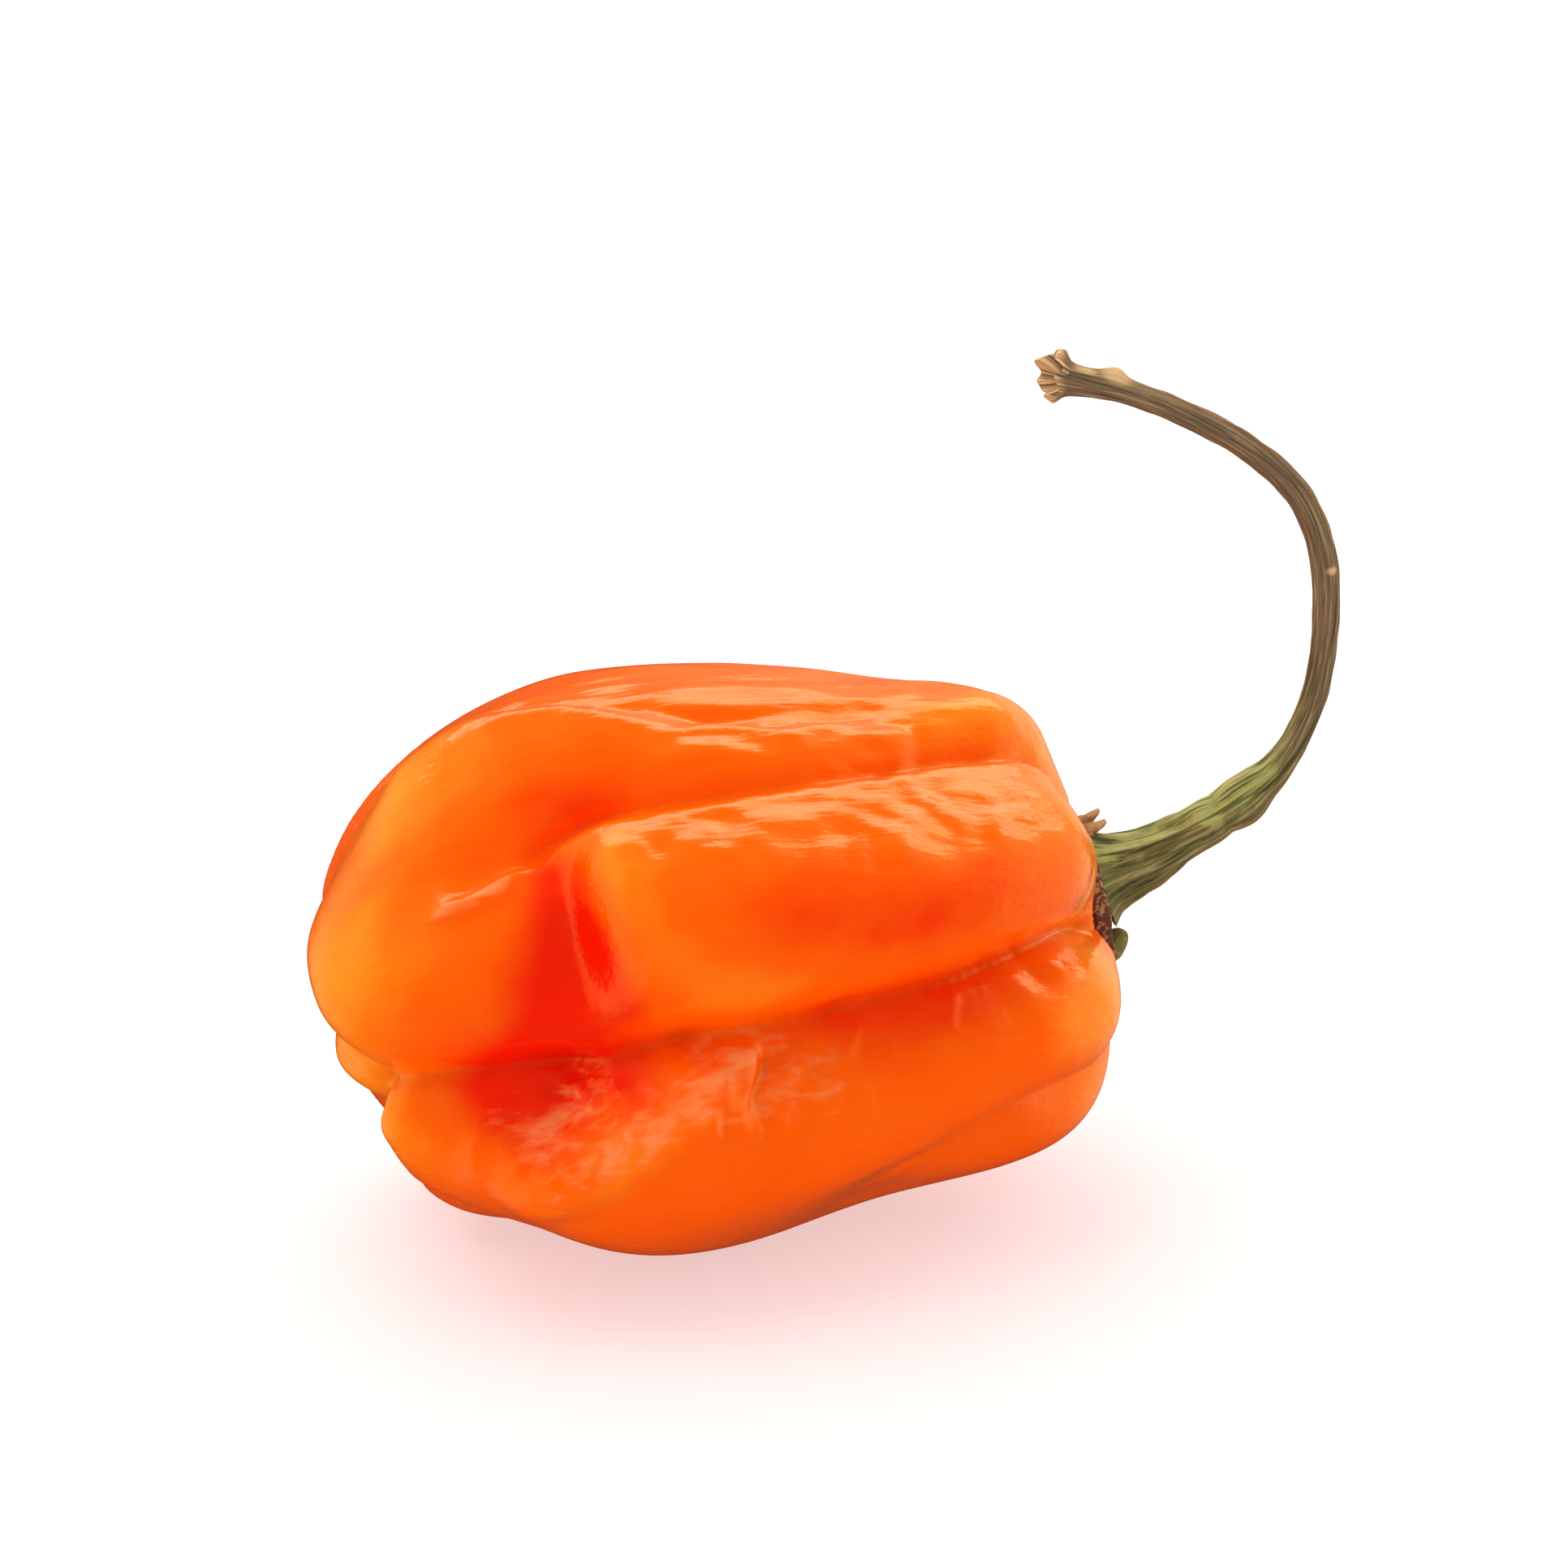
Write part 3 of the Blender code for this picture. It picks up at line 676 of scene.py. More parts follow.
print(len(FOLDS), "small folds")

# %% [markdown]
# ## Ripples
#
# Some skin is uneven all over rather than folded in one place: long ripples on top, crumples
# in the hollow, gentle waves everywhere. Smooth noise gives that, stretched along or round
# the pod and faded out beyond its own area. The noise has no random start, so the skin is
# the same each time.

# %% Ripples
# Each area: its middle and its half lengths as the two angles, then the blot size along the
# pod, front to back and up, and then the height, both in mm
RIPPLES = {
    "long ripples on the top lobe": ((94, 10, 40, 26), (6.0, 1.2, 1.2), 0.22),
    "gentle waves all over": ((90, 180, 200, 400), (6.0, 5.0, 5.0), 0.10),
    "short puckers on the lower lobe": ((86, 96, 13, 11), (0.8, 3.0, 3.0), 0.45),
    "crumples in the hollow": ((54, 97, 16, 11), (1.8, 0.8, 0.8), 0.45),
    "fine crumples in the hollow": ((58, 98, 18, 12), (0.9, 0.6, 0.6), 0.14),
    "crumples on top of the front lobe": ((96, 45, 32, 9), (1.6, 1.1, 1.1), 0.25),
    "creased skin on the top lobe": ((98, 24, 20, 12), (2.6, 0.8, 0.8), 0.2),
    "patches on the lower lobe": ((90, 98, 24, 18), (2.6, 2.2, 2.2), 0.22),
    "waves on the nose": ((34, 60, 12, 16), (2.2, 2.2, 3.5), 0.10),
}
# Ripples fainter than this share of their height are left out
RIPPLE_LIMIT = 0.01


def soft_noise(points):
    """Smooth noise from about -1 to 1 at each of the points."""
    return np.array([noise.noise(Vector(place)) for place in points])


def ripples(points, along, around, area, blot, height):
    """Smooth noise on the points, faded out beyond the area."""
    off_along = (along - area[0]) / area[2]
    off_around = ((around - area[1] + 180) % 360 - 180) / area[3]
    fade = np.exp(-(off_along**2 + off_around**2) ** 2)
    inside = np.nonzero(fade > RIPPLE_LIMIT)[0]
    waves = soft_noise(points[inside] / (np.array(blot) * MM))
    result = np.zeros(len(points))
    result[inside] = waves * fade[inside] * height * MM
    return result


print(len(RIPPLES), "areas of ripples")

# %% [markdown]
# ## Painted light and shade on the skin
#
# The pod's orange carries painted light and shade. It is painted redder in the valleys,
# where shade falls, and paler on the noses of the lobes, where light falls, and a painted
# highlight lies as a milky sheen on the small folds and crumples. The colour could be painted
# on by hand, but paths like those of the creases keep it tied to the forms it belongs to.

# %% Painted light, shade and sheen on the skin
# Painted light (+), which is paler, or painted shade (-), which is redder, than the usual
# orange: the two angles, a reach in mm and how much
LIGHT_AND_SHADE_TINTS = {
    "pale nose": [(20, 50, 6.0, 0.8), (30, 56, 6.0, 0.8), (37, 66, 4.0, 0.4)],
    "pale flank of the top lobe": [(44, 10, 4.0, 0.5), (52, 22, 4.0, 0.4)],
    "red under the overhang": [
        (48, 31, 2.5, -0.6), (56, 28, 3.0, -0.8), (64, 27, 2.4, -0.7), (74, 29, 1.8, -0.4),
    ],
    "red valley": [
        (58, 43, 1.8, -0.9), (57, 52, 2.4, -1.3), (56, 62, 3.4, -1.6), (53, 72, 5.0, -1.5),
        (50, 80, 6.5, -1.1),
    ],
    "red hollow": [
        (34, 86, 2.6, -0.7), (48, 88, 3.6, -1.3), (60, 90, 3.6, -1.2), (68, 92, 3.0, -0.6),
        (50, 97, 3.5, -0.6),
    ],
    "red under the front lobe": [(90, 86, 2.6, -0.4), (108, 86, 3.0, -0.5), (124, 80, 2.6, -0.5)],
    "redder middle of the front lobe": [
        (86, 62, 3.2, -0.45), (98, 64, 3.6, -0.6), (112, 62, 3.6, -0.6), (126, 60, 3.0, -0.4),
    ],
    "red edge of the front lobe": [
        (64, 44, 1.0, -0.5), (63.5, 54, 1.4, -0.9), (66, 64, 1.6, -0.9), (69, 74, 1.6, -0.6),
    ],
    "pale left end of the front lobe": [
        (71, 44, 2.4, 0.6), (71, 54, 2.8, 0.6), (75, 63, 2.8, 0.5), (81, 70, 2.6, 0.4),
        (89, 75, 2.4, 0.3),
    ],
    "pale right end of the front lobe": [(134, 52, 4.5, 0.8), (148, 56, 4.0, 1.0)],
    "pale lower edge of the front lobe": [
        (80, 74, 2.0, 0.4), (100, 75, 2.0, 0.3), (125, 68, 2.0, 0.4),
    ],
    "pale ridge on the lower lobe": [
        (54, 110, 2.4, 0.7), (66, 104, 2.4, 0.8), (78, 95, 2.0, 0.5),
    ],
    "pale tip of the lower lobe": [(20, 104, 3.5, 0.8), (30, 108, 3.5, 0.5)],
    "pale stem end of the lower lobe": [(148, 90, 4.5, 1.0), (132, 93, 4.0, 0.7)],
    "pale bottom lobe": [(140, 130, 4.5, 0.7)],
    "pale bottom lobe tip": [(14, 75, 5.0, 1.0), (12, 100, 4.0, 0.8)],
    "pale blossom rim of the top lobe": [(36, 10, 4.0, 0.7), (46, -4, 4.0, 0.6)],
    "pale stem end of the top lobe": [
        (118, 16, 5.0, 0.6), (136, 12, 5.0, 0.9), (150, 10, 4.0, 0.8),
    ],
}

# Painted highlights, a pale and milky sheen: the same four numbers
PAINTED_SHEEN_PLACES = {
    "crest of the forked ridge": [
        (40, 45, 0.4, 0.9), (43, 43.5, 0.5, 1.1), (48, 41.5, 0.5, 1.1), (51, 40, 0.35, 0.6),
    ],
    "crest of its fork": [(41, 40, 0.4, 0.8), (42, 44, 0.4, 0.8)],
    "lower wall of the hollow": [
        (40, 93, 1.4, 0.6), (48, 99, 2.0, 0.8), (56, 96, 1.8, 0.8), (62, 92, 1.2, 0.5),
    ],
    "ridge on the lower lobe": [
        (56, 106, 1.6, 0.6), (66, 100, 1.6, 0.9), (76, 94, 1.6, 0.9), (84, 88, 1.8, 0.9),
        (89, 88, 1.4, 0.7),
    ],
    "puckers under the front lobe": [(84, 95, 3.0, 0.7), (91, 96, 2.5, 0.6)],
    "lip of the front lobe": [
        (74, 37.5, 0.7, 0.6), (88, 38, 0.6, 0.7), (100, 35, 0.6, 0.7), (110, 30.5, 0.6, 0.6),
    ],
}
print(len(LIGHT_AND_SHADE_TINTS), "tints and", len(PAINTED_SHEEN_PLACES), "dull places")

# %% [markdown]
# ## The seat of the collar
#
# The collar sits in a shallow seat at the stem end, square to the stalk's first stretch. A
# boolean could cut the seat, but pressing the skin down keeps its mesh even. The same frame
# places the collar and the seat, so they fit each other.

# %% Collar frame
COLLAR_CENTRE = np.array((22.1 * MM, 0.0, 16.8 * MM)) + BARREL_MIDDLE
STEM_LEAN_UP = math.radians(12)
STEM_TURN_FRONT = math.radians(10)
COLLAR_THICKNESS = 1.5 * MM
SEAT_GAP = 0.1 * MM
SEAT_RADIUS = 4.3 * MM
SEAT_SLOPE = 0.7


def collar_frame():
    """Matrix whose Z is the stalk's first direction and whose X points up the collar."""
    out = Vector((math.cos(STEM_LEAN_UP) * math.cos(STEM_TURN_FRONT),
                  -math.cos(STEM_LEAN_UP) * math.sin(STEM_TURN_FRONT), math.sin(STEM_LEAN_UP)))
    front = out.cross(Vector((0, 0, 1))).normalized()
    up = front.cross(out).normalized()
    turn = Matrix((up, front, out)).transposed().to_4x4()
    return np.array(Matrix.Translation(COLLAR_CENTRE) @ turn)


collar_place = collar_frame()


def from_collar(local):
    """Points measured from the collar, in the frame of the whole chilli."""
    return local @ collar_place[:3, :3].T + collar_place[:3, 3]


def press_seat(points):
    """Sink the pod under the collar."""
    local = (points - collar_place[:3, 3]) @ collar_place[:3, :3]
    away = np.hypot(local[:, 0], local[:, 1])
    ceiling = SEAT_SLOPE * np.clip(away - SEAT_RADIUS, 0, None) - COLLAR_THICKNESS / 2 - SEAT_GAP
    local[:, 2] = np.minimum(local[:, 2], ceiling)
    return from_collar(local)


print("collar centre in mm", (COLLAR_CENTRE / MM).round(1))

# %% [markdown]
# ## Starting from a ball
#
# A sphere primitive is a good start for every closed piece here: its poles become the two
# ends and it has no seam to close. It could be pulled into shape with edit tools, but so many
# fine forms need each point placed, so its points are moved to a computed surface, and edit
# mode then turns its faces outwards. What the finish has to know about a place is kept on the
# points as attributes.

# %% Balls and their points
def mesh_points(piece):
    """A mesh's vertices as rows of three numbers."""
    flat = np.empty(len(piece.data.vertices) * 3, np.float32)
    piece.data.vertices.foreach_get("co", flat)
    return flat.reshape(-1, 3).astype(float)


def ball(name, segments, rings):
    """A sphere primitive of radius 1, with the angle from its lower pole and the angle round."""
    bpy.ops.object.select_all(action="DESELECT")
    bpy.ops.mesh.primitive_uv_sphere_add(segments=segments, ring_count=rings, radius=1.0,
                                         location=(0, 0, 0))
    piece = bpy.context.object
    piece.name = name
    piece.data.name = name
    points = mesh_points(piece)
    from_pole = np.degrees(np.arccos(np.clip(-points[:, 2], -1, 1)))
    around = np.degrees(np.arctan2(points[:, 1], points[:, 0])) % 360
    return piece, from_pole, around


def shape_to(piece, points):
    """Move a mesh's vertices, turn its faces outwards and shade it smooth."""
    piece.data.vertices.foreach_set("co", points.astype(np.float32).ravel())
    bpy.ops.object.select_all(action="DESELECT")
    piece.select_set(True)
    bpy.context.view_layer.objects.active = piece
    bpy.ops.object.mode_set(mode="EDIT")
    bpy.ops.mesh.select_all(action="SELECT")
    bpy.ops.mesh.normals_make_consistent(inside=False)
    bpy.ops.object.mode_set(mode="OBJECT")
    bpy.ops.object.shade_smooth()


def keep_on_points(piece, name, values):
    """Store one number, or one row of three, on each vertex for the finish to read."""
    if values.ndim == 1:
        layer = piece.data.attributes.new(name, "FLOAT", "POINT")
        layer.data.foreach_set("value", values.astype(np.float32))
    else:
        layer = piece.data.attributes.new(name, "FLOAT_VECTOR", "POINT")
        layer.data.foreach_set("vector", values.astype(np.float32).ravel())


def fit(piece, node):
    """The piece stands for that solid, which is hidden, and moves with the chilli."""
    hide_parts(node)
    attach(piece, "root")


print("ready to shape")

# %% [markdown]
# ## The pod
#
# The pod is the whole fruit, one closed skin. The ball's points go to the barrel first, then
# each is raised or sunk by the sum of all the forms above. The mesh is fine enough for folds
# half a millimetre wide. Subdividing a coarse mesh would smooth them away.

# %% Pod
POD_SEGMENTS = 360
POD_RINGS = 256

pod, along, around = ball("pod_skin", POD_SEGMENTS, POD_RINGS)
skin_points = barrel(along, around)


def summed(tracks, profile, *details):
    """All the tracks' heights with that profile, added up for each point of the skin."""
    total = np.zeros(len(skin_points))
    for track in tracks.values():
        nearest, height = nearest_on(skin_points, track)
        total += profile(nearest, height, *details)
    return total


crease_height = summed(CREASES, groove, CREASE_ROUNDING, CREASE_POWER)
groove_height = summed(GROOVES, groove, GROOVE_ROUNDING, GROOVE_POWER)
swell_height = summed(SWELLINGS, bell)
fold_height = summed(FOLDS, bell)
for area, blot, tall in RIPPLES.values():
    fold_height += ripples(skin_points, along, around, area, blot, tall)

lift = crease_height + groove_height + swell_height + fold_height
moved = skin_points + barrel_normals(along, around) * lift[:, None]
moved = press_seat(moved)
# The floor is at height 0, and the pod rests flat on it
moved[:, 2] = np.clip(moved[:, 2], 0, None)
shape_to(pod, moved)
fit(pod, "pod")
print("pod faces", len(pod.data.polygons))

# %% [markdown]
# ## What the skin knows of its colour
#
# Two facts are kept on each point for the finish. "painted_light_and_shade" says how much
# paler, as painted light, or redder, as painted shade, than plain orange the skin is there:
# the creases get painted shade by their depth, and the tints are added. "painted_sheen" says
# where a painted highlight lies on the crumpled skin as a milky sheen. Where those places
# overlap, the stronger one counts.

# %% Painted light, shade and sheen on the points
DEEP = 4.0 * MM
# Painted shade: how much redder a crease is painted at its full depth
CREASE_SHADE = 0.5

# Painted shade in the creases, and the painted light and shade of the tints
painted_light_and_shade = CREASE_SHADE * np.clip(crease_height / DEEP, -1, 0) + summed(LIGHT_AND_SHADE_TINTS, bell) / MM
keep_on_points(pod, "painted_light_and_shade", painted_light_and_shade)
# Painted highlights: where the skin gets a milky sheen
painted_sheen = np.zeros(len(skin_points))
for track in PAINTED_SHEEN_PLACES.values():
    nearest, amount = nearest_on(skin_points, track)
    painted_sheen = np.maximum(painted_sheen, bell(nearest, amount / MM))
keep_on_points(pod, "painted_sheen", painted_sheen)
print("pigment from", painted_light_and_shade.min().round(2), "to", painted_light_and_shade.max().round(2))

# %% [markdown]
# ## The finish of the skin
#
# Habanero skin is a clear, waxy orange over flesh that lets light in, so it glows rather than
# looks painted. The Principled shader does the wax with a smooth reflecting surface and the
# glow with a little subsurface light. The base colour follows the painted light and shade
# kept on the points, paler where light falls and redder where shade falls, and a cloudy
# mottling breaks it up. Where the points carry a painted highlight, the skin turns a milky,
# paler orange in small blots, as a painted sheen, and rougher. A faint pebble and a long grain
# in the surface stop it from looking like plastic.

# %% Skin finish
ORANGE = (1.0, 0.11, 0.0, 1)
# Painted shade: the red of the creases, valleys and hollows
SHADE_RED = (0.90, 0.008, 0.0, 1)
# Painted light: the paler orange of the lobes where light falls
LIT_ORANGE = (1.0, 0.25, 0.006, 1)
# Painted highlight: the milky orange of the sheen on small folds
SHEEN_ORANGE = (0.93, 0.25, 0.075, 1)
WAX_GLINT = (1.0, 0.78, 0.22, 1)
SKIN_ROUGHNESS = 0.17
FULLY_TINTED = 1.3

skin, skin_shader, paint = new_finish("orange skin", {
    "Specular IOR Level": 1.0, "Specular Tint": WAX_GLINT, "Subsurface Weight": 0.15,
    "Subsurface Scale": 1.0 * MM, "Subsurface Radius": (1.0, 0.3, 0.05)})
where = paint.place()
mottle = paint.grain(where, (3.5, 3.0, 3.0), detail=3.0)
cloud = paint.grain(where, (7.0, 5.0, 5.0), detail=2.0, distortion=0.6)
# Painted light and shade from the points, broken up by random mottling
painted_light_and_shade = paint.attribute("painted_light_and_shade") + (mottle - 0.5) * 0.6 + (cloud - 0.5) * 0.9
colour = paint.tint(paint.ease(painted_light_and_shade, 0.0, FULLY_TINTED), ORANGE, LIT_ORANGE)
colour = paint.tint(paint.ease(painted_light_and_shade, 0.0, -FULLY_TINTED), colour, SHADE_RED)
# Painted highlight: a milky sheen in blots where the points carry it, which also makes the skin
# rougher
crumple = paint.grain(where, (1.9, 0.7, 0.7), detail=3.0, distortion=0.3)
sheen_blots = paint.ease(paint.attribute("painted_sheen") + (crumple - 0.5) * 2.0, 0.4, 1.3)
colour = paint.tint(sheen_blots * 0.7, colour, SHEEN_ORANGE)
roughness = SKIN_ROUGHNESS + (mottle - 0.5) * 0.10 + sheen_blots * 0.15
pebble = paint.grain(where, (0.5, 0.5, 0.5), detail=2.0)
streak = paint.grain(where, (3.0, 0.45, 0.45), detail=2.0)
surface = paint.bump(pebble, 0.03, 0.6)
surface = paint.bump(streak, 0.07, 0.8, surface)
paint.feed(skin_shader.inputs["Base Color"], colour)
paint.feed(skin_shader.inputs["Roughness"], roughness)
paint.feed(skin_shader.inputs["Normal"], surface)
pod.data.materials.append(skin)
print("skin nodes", len(skin.node_tree.nodes))

# %% [markdown]
# ## The dry collar
#
# Where the fruit grew on the stalk, the calyx has dried to a thin brown collar with a few
# tattered lobes. It could be a disc with its rim extruded, but its edge is soft and closed
# all round, so it is a second ball, pressed nearly flat. The rim is drawn out into lobes that
# curl away from the pod, and noise crumbles it.

# %% Collar
COLLAR_SEGMENTS = 160
COLLAR_RINGS = 40
COLLAR_RADIUS = 3.85 * MM
# The rim begins at this share of the ball's radius, and this power flattens its two faces
RIM_START = 0.7
FACE_POWER = 0.35
CRUMB_SIZE = 0.55 * MM
FLAKE_SIZE = 1.3 * MM
CRUMBLING = 0.05
# Lobes: angle from the top towards the front, half width in degrees, reach and curl in mm
COLLAR_LOBES = {
    "upper tooth": (10, 7, 0.1, 1.5),
    "back upper tooth": (-8, 8, 0.35, 1.4),
    "stub behind the ear": (150, 12, 0.5, 0.2),
    "low front lobe": (95, 14, 0.4, 0.1),
    "back lobe": (238, 14, 1.1, 0.6),
    "back side lobe": (300, 12, 0.8, 0.4),
}

collar, from_pole, turn = ball("dry_collar", COLLAR_SEGMENTS, COLLAR_RINGS)
reach = np.zeros(len(turn))
curl = np.zeros(len(turn))
for angle, half_width, out, rise in COLLAR_LOBES.values():
    away = (turn - angle + 180) % 360 - 180
    lobe = np.exp(-((away / half_width) ** 4))
    reach += out * MM * lobe
    curl += rise * MM * lobe
spread = np.sin(np.radians(from_pole))
side = -np.cos(np.radians(from_pole))
edge = np.clip((spread - RIM_START) / (1 - RIM_START), 0, 1)
radius = COLLAR_RADIUS * np.sqrt(spread) + reach * edge
wall = np.sign(side) * np.abs(side) ** FACE_POWER * COLLAR_THICKNESS / 2
turned = np.radians(turn)
local = np.stack([radius * np.cos(turned), radius * np.sin(turned), wall + curl * edge], -1)
crumbs = soft_noise(local / CRUMB_SIZE)
flakes = soft_noise(local / FLAKE_SIZE)
local *= (1 + (crumbs + flakes) * CRUMBLING * edge)[:, None]
shape_to(collar, from_collar(local))
keep_on_points(collar, "rim", -np.clip(curl / MM, 0, 1) * edge)
fit(collar, "calyx")
print("collar faces", len(collar.data.polygons))

# %% [markdown]
# ## The ear lobe
#
# One fleshy lobe of the calyx is left at the lower edge, round and green like an ear. It is
# thick where the rest is thin, so it is a small ball of its own. Noise dents it, it slants
# towards the pod, and it is sunk into the collar's rim.

# %% Ear lobe
EAR_SEGMENTS = 64
EAR_RINGS = 40
# Its half sizes, in mm: away from the pod, round the collar and out from it
EAR_SIZE = (1.0, 1.1, 0.95)
EAR_ANGLE = math.radians(168)
EAR_OUT = 3.8
EAR_RISE = 0.7
EAR_SLANT = 0.35
EAR_DENT = 0.16
DENTS_PER_MM = 1.3
# How green the ear is along its middle, and how fast it gets fully green towards its sides
MIDDLE_GREEN = 0.35
SIDE_GREENING = 1.2

ear, from_pole, turn = ball("ear_lobe", EAR_SEGMENTS, EAR_RINGS)
points = mesh_points(ear) * EAR_SIZE
points = points * (1 + EAR_DENT * soft_noise(points * DENTS_PER_MM))[:, None]
middle = np.array([math.cos(EAR_ANGLE) * EAR_OUT, math.sin(EAR_ANGLE) * EAR_OUT, EAR_RISE])
out_way = np.array([math.cos(EAR_ANGLE), math.sin(EAR_ANGLE), 0])
side_way = np.array([-math.sin(EAR_ANGLE), math.cos(EAR_ANGLE), 0])
lifted = np.outer(points[:, 0] - EAR_SLANT * points[:, 2], (0, 0, 1))
local = middle + lifted + np.outer(points[:, 1], side_way) + np.outer(points[:, 2], out_way)
shape_to(ear, from_collar(local * MM))
greener = np.clip(np.abs(points[:, 1]) * SIDE_GREENING, 0, 1)
keep_on_points(ear, "rim", MIDDLE_GREEN + (1 - MIDDLE_GREEN) * greener)
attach(ear, "root")
print("ear faces", len(ear.data.polygons))

# %% [markdown]
# ## The finish of the collar
#
# A dried calyx is dark brown with tan crumbs, while the ear lobe has stayed green and the
# teeth have bleached to tan. One finish does all three: a fine grit mixes brown and tan, and
# the "rim" kept on the points turns it green above 0 and tan below 0. Grit in the surface
# makes it crumbly.

# %% Collar finish
DRY_BROWN = (0.12, 0.035, 0.02, 1)
DRY_TAN = (0.42, 0.24, 0.09, 1)
LEAF_GREEN = (0.19, 0.19, 0.04, 1)
RIM_COVER = 0.8

crust, crust_shader, paint = new_finish("dry collar", {"Specular IOR Level": 0.25})
grit = paint.grain(paint.place(), (0.35, 0.35, 0.35), detail=4.0)
rim = paint.attribute("rim")
colour = paint.tint(paint.ease(grit, 0.48, 0.66), DRY_BROWN, DRY_TAN)
colour = paint.tint(paint.ease(rim, 0.0, 1.0) * RIM_COVER, colour, LEAF_GREEN)
colour = paint.tint(paint.ease(rim, 0.0, -1.0) * RIM_COVER, colour, DRY_TAN)
paint.feed(crust_shader.inputs["Base Color"], colour)
paint.feed(crust_shader.inputs["Roughness"], 0.65 + grit * 0.25)
paint.feed(crust_shader.inputs["Normal"], paint.bump(grit, 0.15, 0.9))
collar.data.materials.append(crust)
ear.data.materials.append(crust)
print("collar nodes", len(crust.node_tree.nodes))

# %% [markdown]
# ## The route of the stalk
#
# The stalk is a trumpet where it meets the collar, then a ribbed waist, a swollen knuckle
# where a leaf once grew, and a long thin shoot that curls back to a torn end. A curve with a
# round bevel would make a smooth tube, but a real stalk is never quite round, so it is a
# third ball, drawn out along a route: the angle from the pole becomes the distance along the
# route, and the angle round turns about it.

# %% Stalk route
STALK_ROUTE = [
    (22.65, -0.14, 17.2), (25.2, -0.6, 18.25), (27.6, -1.1, 19.6), (30.1, -1.6, 21.2),
    (33.0, -2.1, 23.8), (34.75, -2.4, 27.5), (35.35, -2.5, 31.8), (35.1, -2.4, 35.7),
    (33.7, -2.1, 39.5), (30.9, -1.8, 42.3), (27.1, -1.5, 44.6), (23.2, -1.2, 46.3),
    (18.8, -1.0, 47.55),
]
ROUTE_STEPS_PER_SPAN = 24
HEADING_STEP = 0.4 * MM

route = smooth_path(np.array(STALK_ROUTE) * MM + BARREL_MIDDLE, ROUTE_STEPS_PER_SPAN)
run = np.concatenate([[0], np.cumsum(np.linalg.norm(np.diff(route, axis=0), axis=1))])
stalk_length = run[-1]


def route_point(distance):
    """Places on the route at those distances."""
    return np.stack([np.interp(distance, run, route[:, axis]) for axis in range(3)], -1)


def route_axes(distance):
    """The route's own directions there: forward, the outside of the bend, and the front."""
    forward = route_point(distance + HEADING_STEP) - route_point(distance - HEADING_STEP)
    forward /= np.linalg.norm(forward, axis=1)[:, None]
    outer = np.cross(np.array([0.0, 1.0, 0.0]), forward)
    outer /= np.linalg.norm(outer, axis=1)[:, None]
    return forward, outer, np.cross(outer, forward)


print("stalk length in mm", round(stalk_length / MM, 1))

# %% [markdown]
# ## The thickness of the stalk
#
# The thickness is a row of radii along the route, and bumps are laid on it one by one: the
# knuckle, the scale of loose bark and the prongs of the torn end. Distances are from the
# collar, and the angle is 0 on the outside of the bend, 90 on the front and 180 on the
# inside.

# %% Stalk thickness, bumps and pale patches
# Each row: distance and radius in mm
STALK_RADII = [
    (0.0, 3.0), (0.3, 2.75), (0.8, 2.35), (1.5, 2.05), (2.5, 1.8), (4.0, 1.54), (5.6, 1.34),
    (6.6, 1.28), (7.6, 1.22), (8.6, 1.16), (10.0, 1.04), (11.5, 0.94), (13.0, 0.80),
    (15.2, 0.75), (18.2, 0.74), (25.2, 0.76), (37.2, 0.70), (42.0, 0.66), (43.5, 0.74),
    (45.0, 0.86), (45.8, 1.0), (46.4, 1.15),
]
# Each bump: distance, angle, half length in mm, half width in degrees and height in mm
STALK_BUMPS = {
    "olive bump": (7.0, 150, 0.75, 50, 0.25),
    "shiny shoulder": (10.0, 165, 1.2, 50, 0.26),
    "lower knuckle": (9.7, 15, 1.2, 60, 0.55),
    "ring behind the bump": (8.1, 120, 0.25, 90, -0.14),
    "upper lip of the flare": (0.7, 170, 0.6, 50, 0.2),
    "tan scale": (42.6, 12, 0.85, 32, 0.5),
    "upper prong of the torn end": (46.0, 5, 0.45, 40, 0.5),
    "front lip of the torn end": (46.3, 75, 0.3, 30, 0.25),
    "lower prong of the torn end": (46.0, 170, 0.4, 35, 0.3),
}
# Where the bark has come off and the wood is pale: the first four of those numbers
PALE_PATCHES = {
    "tan scale": (42.6, 20, 0.95, 42),
    "bare streak": (44.4, 25, 0.7, 18),
    "fleck": (24.6, 80, 0.22, 25),
}
print(len(STALK_BUMPS), "bumps on the stalk")

# %% [markdown]
# ## The bark of the stalk
#
# Old stalk skin is ribbed lengthwise, and the ribs twist slowly round it. A cosine round the
# stalk gives the ribs, and noise stretched along it gives fibres that wander and knobbles
# that swell here and there. They are laid on the radius itself, so the outline is uneven too.

# %% Stalk surface
STALK_SIDES = 112
STALK_STEPS = 620
CAP_STEPS = 8
TWIST_PER_MM = 0.035
RIB_COUNT = 8
RIB_WANDER = 3
# The ribs' height as a share of the radius, at these distances in mm
RIB_PLACES = [0, 2, 7, 14, 20, 46]
RIB_HEIGHTS = [0.05, 0.09, 0.04, 0.05, 0.07, 0.06]
FIBRE_HEIGHT = 0.14
KNOBBLE_HEIGHT = 0.07

stalk, from_pole, turn = ball("stalk", STALK_SIDES, STALK_STEPS)
ring = np.rint(from_pole / 180 * STALK_STEPS)
step = np.clip((ring - CAP_STEPS) / (STALK_STEPS - 2 * CAP_STEPS), 0, 1)
distance = step * stalk_length
distance_mm = distance / MM
turned = np.radians(turn)
twisted = turned + distance_mm * TWIST_PER_MM


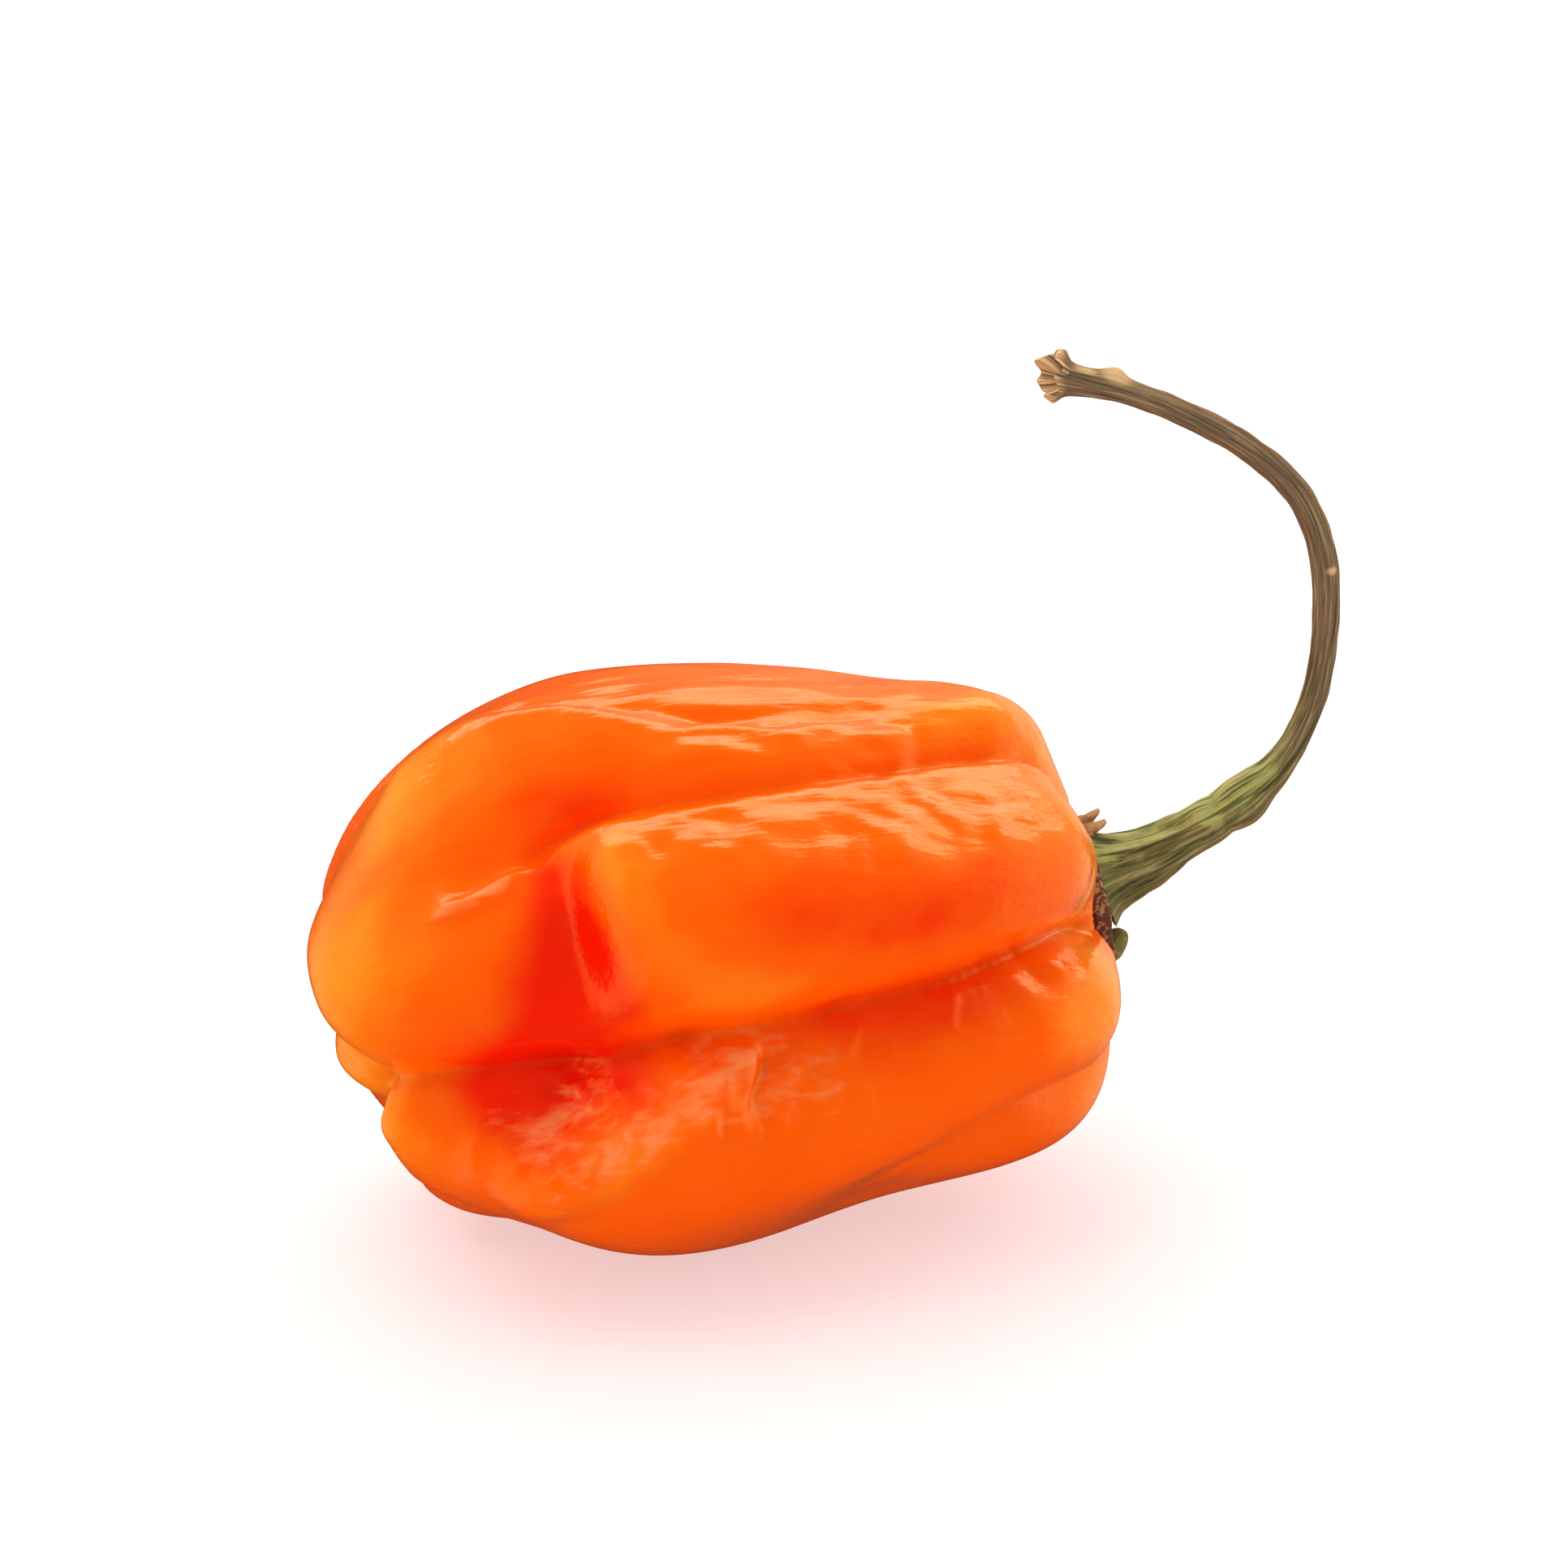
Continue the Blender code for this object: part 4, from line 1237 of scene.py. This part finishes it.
def bark_noise(angle, per_mm, round_it, start=0):
    """Noise on the stalk: blots per mm along it, and how many fit round it."""
    return soft_noise(np.stack([distance_mm * per_mm, np.cos(angle) * round_it,
                                np.sin(angle) * round_it + start], -1))


wander = bark_noise(turned, 0.35, 0.8)
fibre = bark_noise(twisted, 0.22, 4.5)
knobble = bark_noise(turned, 0.8, 1.1, start=7)
ribs = np.cos(RIB_COUNT * twisted + wander * RIB_WANDER)
rib_height = np.interp(distance_mm, RIB_PLACES, RIB_HEIGHTS)
radii = np.array(STALK_RADII)
radius = np.interp(distance_mm, radii[:, 0], radii[:, 1])
radius *= 1 + ribs * rib_height + fibre * FIBRE_HEIGHT + knobble * KNOBBLE_HEIGHT


def square_from(place, angle, half_length, half_width):
    """How far each point is from a place on the stalk, squared: 1 at the half sizes."""
    off = (turn - angle + 180) % 360 - 180
    return ((distance_mm - place) / half_length) ** 2 + (off / half_width) ** 2


for *spot, tall in STALK_BUMPS.values():
    radius += tall * np.exp(-square_from(*spot))
print("radius in mm from", radius.min().round(2), "to", radius.max().round(2))

# %% [markdown]
# ## The torn end, and putting the stalk together
#
# The stalk was torn off its plant, so its end is ragged lips round a sunken middle. The last
# rings of the ball close each end as a cap. At the torn end they sink inwards instead, and
# noise pushes the lips in and out. Each point is then set out from the route by its radius.

# %% Stalk
LIP_LENGTH = 3
LIP_NOISE = 1.7
LIP_SEED = 3.1
SUNK_DEPTH = 1.2
TORN_START = 0.7
TORN_LENGTH = 0.6

end_mm = stalk_length / MM
cap = np.clip(np.minimum(ring, STALK_STEPS - ring) / CAP_STEPS, 0, 1)
lips = soft_noise(np.stack([np.cos(turned) * LIP_NOISE, np.sin(turned) * LIP_NOISE,
                            np.full(len(turned), LIP_SEED)], -1))
near_end = np.clip((distance_mm - (end_mm - LIP_LENGTH)) / LIP_LENGTH, 0, 1)
sunk = np.where(ring >= STALK_STEPS - CAP_STEPS, (1 - cap) * SUNK_DEPTH, 0)
ahead = (lips * near_end**2 - sunk) * MM
radius = radius * np.sqrt(cap) * MM
forward, outer, front = route_axes(distance)
shape_to(stalk, route_point(distance) + forward * ahead[:, None]
         + outer * (radius * np.cos(turned))[:, None]
         + front * (radius * np.sin(turned))[:, None])
fit(stalk, "stem")
print("stalk faces", len(stalk.data.polygons))

# %% [markdown]
# ## What the bark knows of its place
#
# The colour of a stalk follows its length and its sides, and its grain runs with the fibres.
# So each point keeps how far along it is, how near the inside of the bend, how torn and how
# bare it is, and a place in a straightened stalk for the grain to be drawn in.

# %% Facts for the bark
keep_on_points(stalk, "grain",
               np.stack([distance, np.cos(twisted) * MM, np.sin(twisted) * MM], -1))
keep_on_points(stalk, "distance", distance_mm)
keep_on_points(stalk, "inside", 0.5 - 0.5 * np.cos(turned))
torn = np.clip((distance_mm - (end_mm - TORN_START)) / TORN_LENGTH, 0, 1)
keep_on_points(stalk, "torn", torn)
pale = np.zeros(len(turn))
for spot in PALE_PATCHES.values():
    pale = np.maximum(pale, np.exp(-square_from(*spot)**2))
keep_on_points(stalk, "pale", pale)
print("bare points", int((pale > 0.5).sum()))

# %% [markdown]
# ## The finish of the bark
#
# Near the pod the stalk is still alive: olive, with lime where light reaches the inside of
# the bend. Further out it is dry grey-brown bark, rusty on the outside, and cream where it is
# torn or bare. Tan and dark threads run along it everywhere. One finish blends them all by
# the facts on the points, so there is no hard edge between the living and the dry part.

# %% Stalk finish
OLIVE = (0.15, 0.14, 0.03, 1)
LIME = (0.40, 0.42, 0.10, 1)
BARK = (0.19, 0.125, 0.06, 1)
TAN = (0.40, 0.30, 0.15, 1)
DARK_FIBRE = (0.025, 0.022, 0.012, 1)
RUST = (0.30, 0.14, 0.04, 1)
CREAM = (0.72, 0.46, 0.21, 1)
# Distances in mm: the green fades out over the first pair, the knuckle begins over the second
# and ends over the third
GREEN_FADE = (12.0, 24.0)
KNUCKLE_START = (6.0, 8.0)
KNUCKLE_END = (13.5, 11.5)

bark, bark_shader, paint = new_finish("stalk bark", {"Specular IOR Level": 0.3})
along_grain = paint.attribute_vector("grain")
threads = paint.grain(along_grain, (3.6, 0.14, 0.14), detail=4.0, distortion=0.5)
blotch = paint.grain(along_grain, (1.6, 0.7, 0.7), detail=3.0)
along_stalk = paint.attribute("distance")
inner = paint.attribute("inside")
green_part = 1 - paint.ease(along_stalk + blotch * 8, *GREEN_FADE)
knuckle = paint.ease(along_stalk, *KNUCKLE_START) * paint.ease(along_stalk, *KNUCKLE_END)
lime_part = paint.ease(inner + (blotch - 0.5) * 1.2 + knuckle * 0.45, 0.75, 1.15)
dark_part = paint.ease(threads, 0.50, 0.38) * (0.45 + green_part * 0.3)
torn_part = paint.attribute("torn") * paint.ease(threads, 0.35, 0.6)
colour = paint.tint(green_part, BARK, OLIVE)
colour = paint.tint(lime_part * green_part * 0.85, colour, LIME)
colour = paint.tint(paint.ease(threads, 0.52, 0.62) * 0.6, colour, TAN)
colour = paint.tint(dark_part, colour, DARK_FIBRE)
colour = paint.tint(paint.ease(inner, 0.3, 0.0) * 0.5, colour, RUST)
colour = paint.tint(torn_part, colour, CREAM)
colour = paint.tint(paint.attribute("pale") * 0.9, colour, CREAM)
paint.feed(bark_shader.inputs["Base Color"], colour)
paint.feed(bark_shader.inputs["Roughness"], 0.5 + threads * 0.3)
paint.feed(bark_shader.inputs["Normal"], paint.bump(threads, 0.18, 0.8))
stalk.data.materials.append(bark)
print("stalk nodes", len(bark.node_tree.nodes))
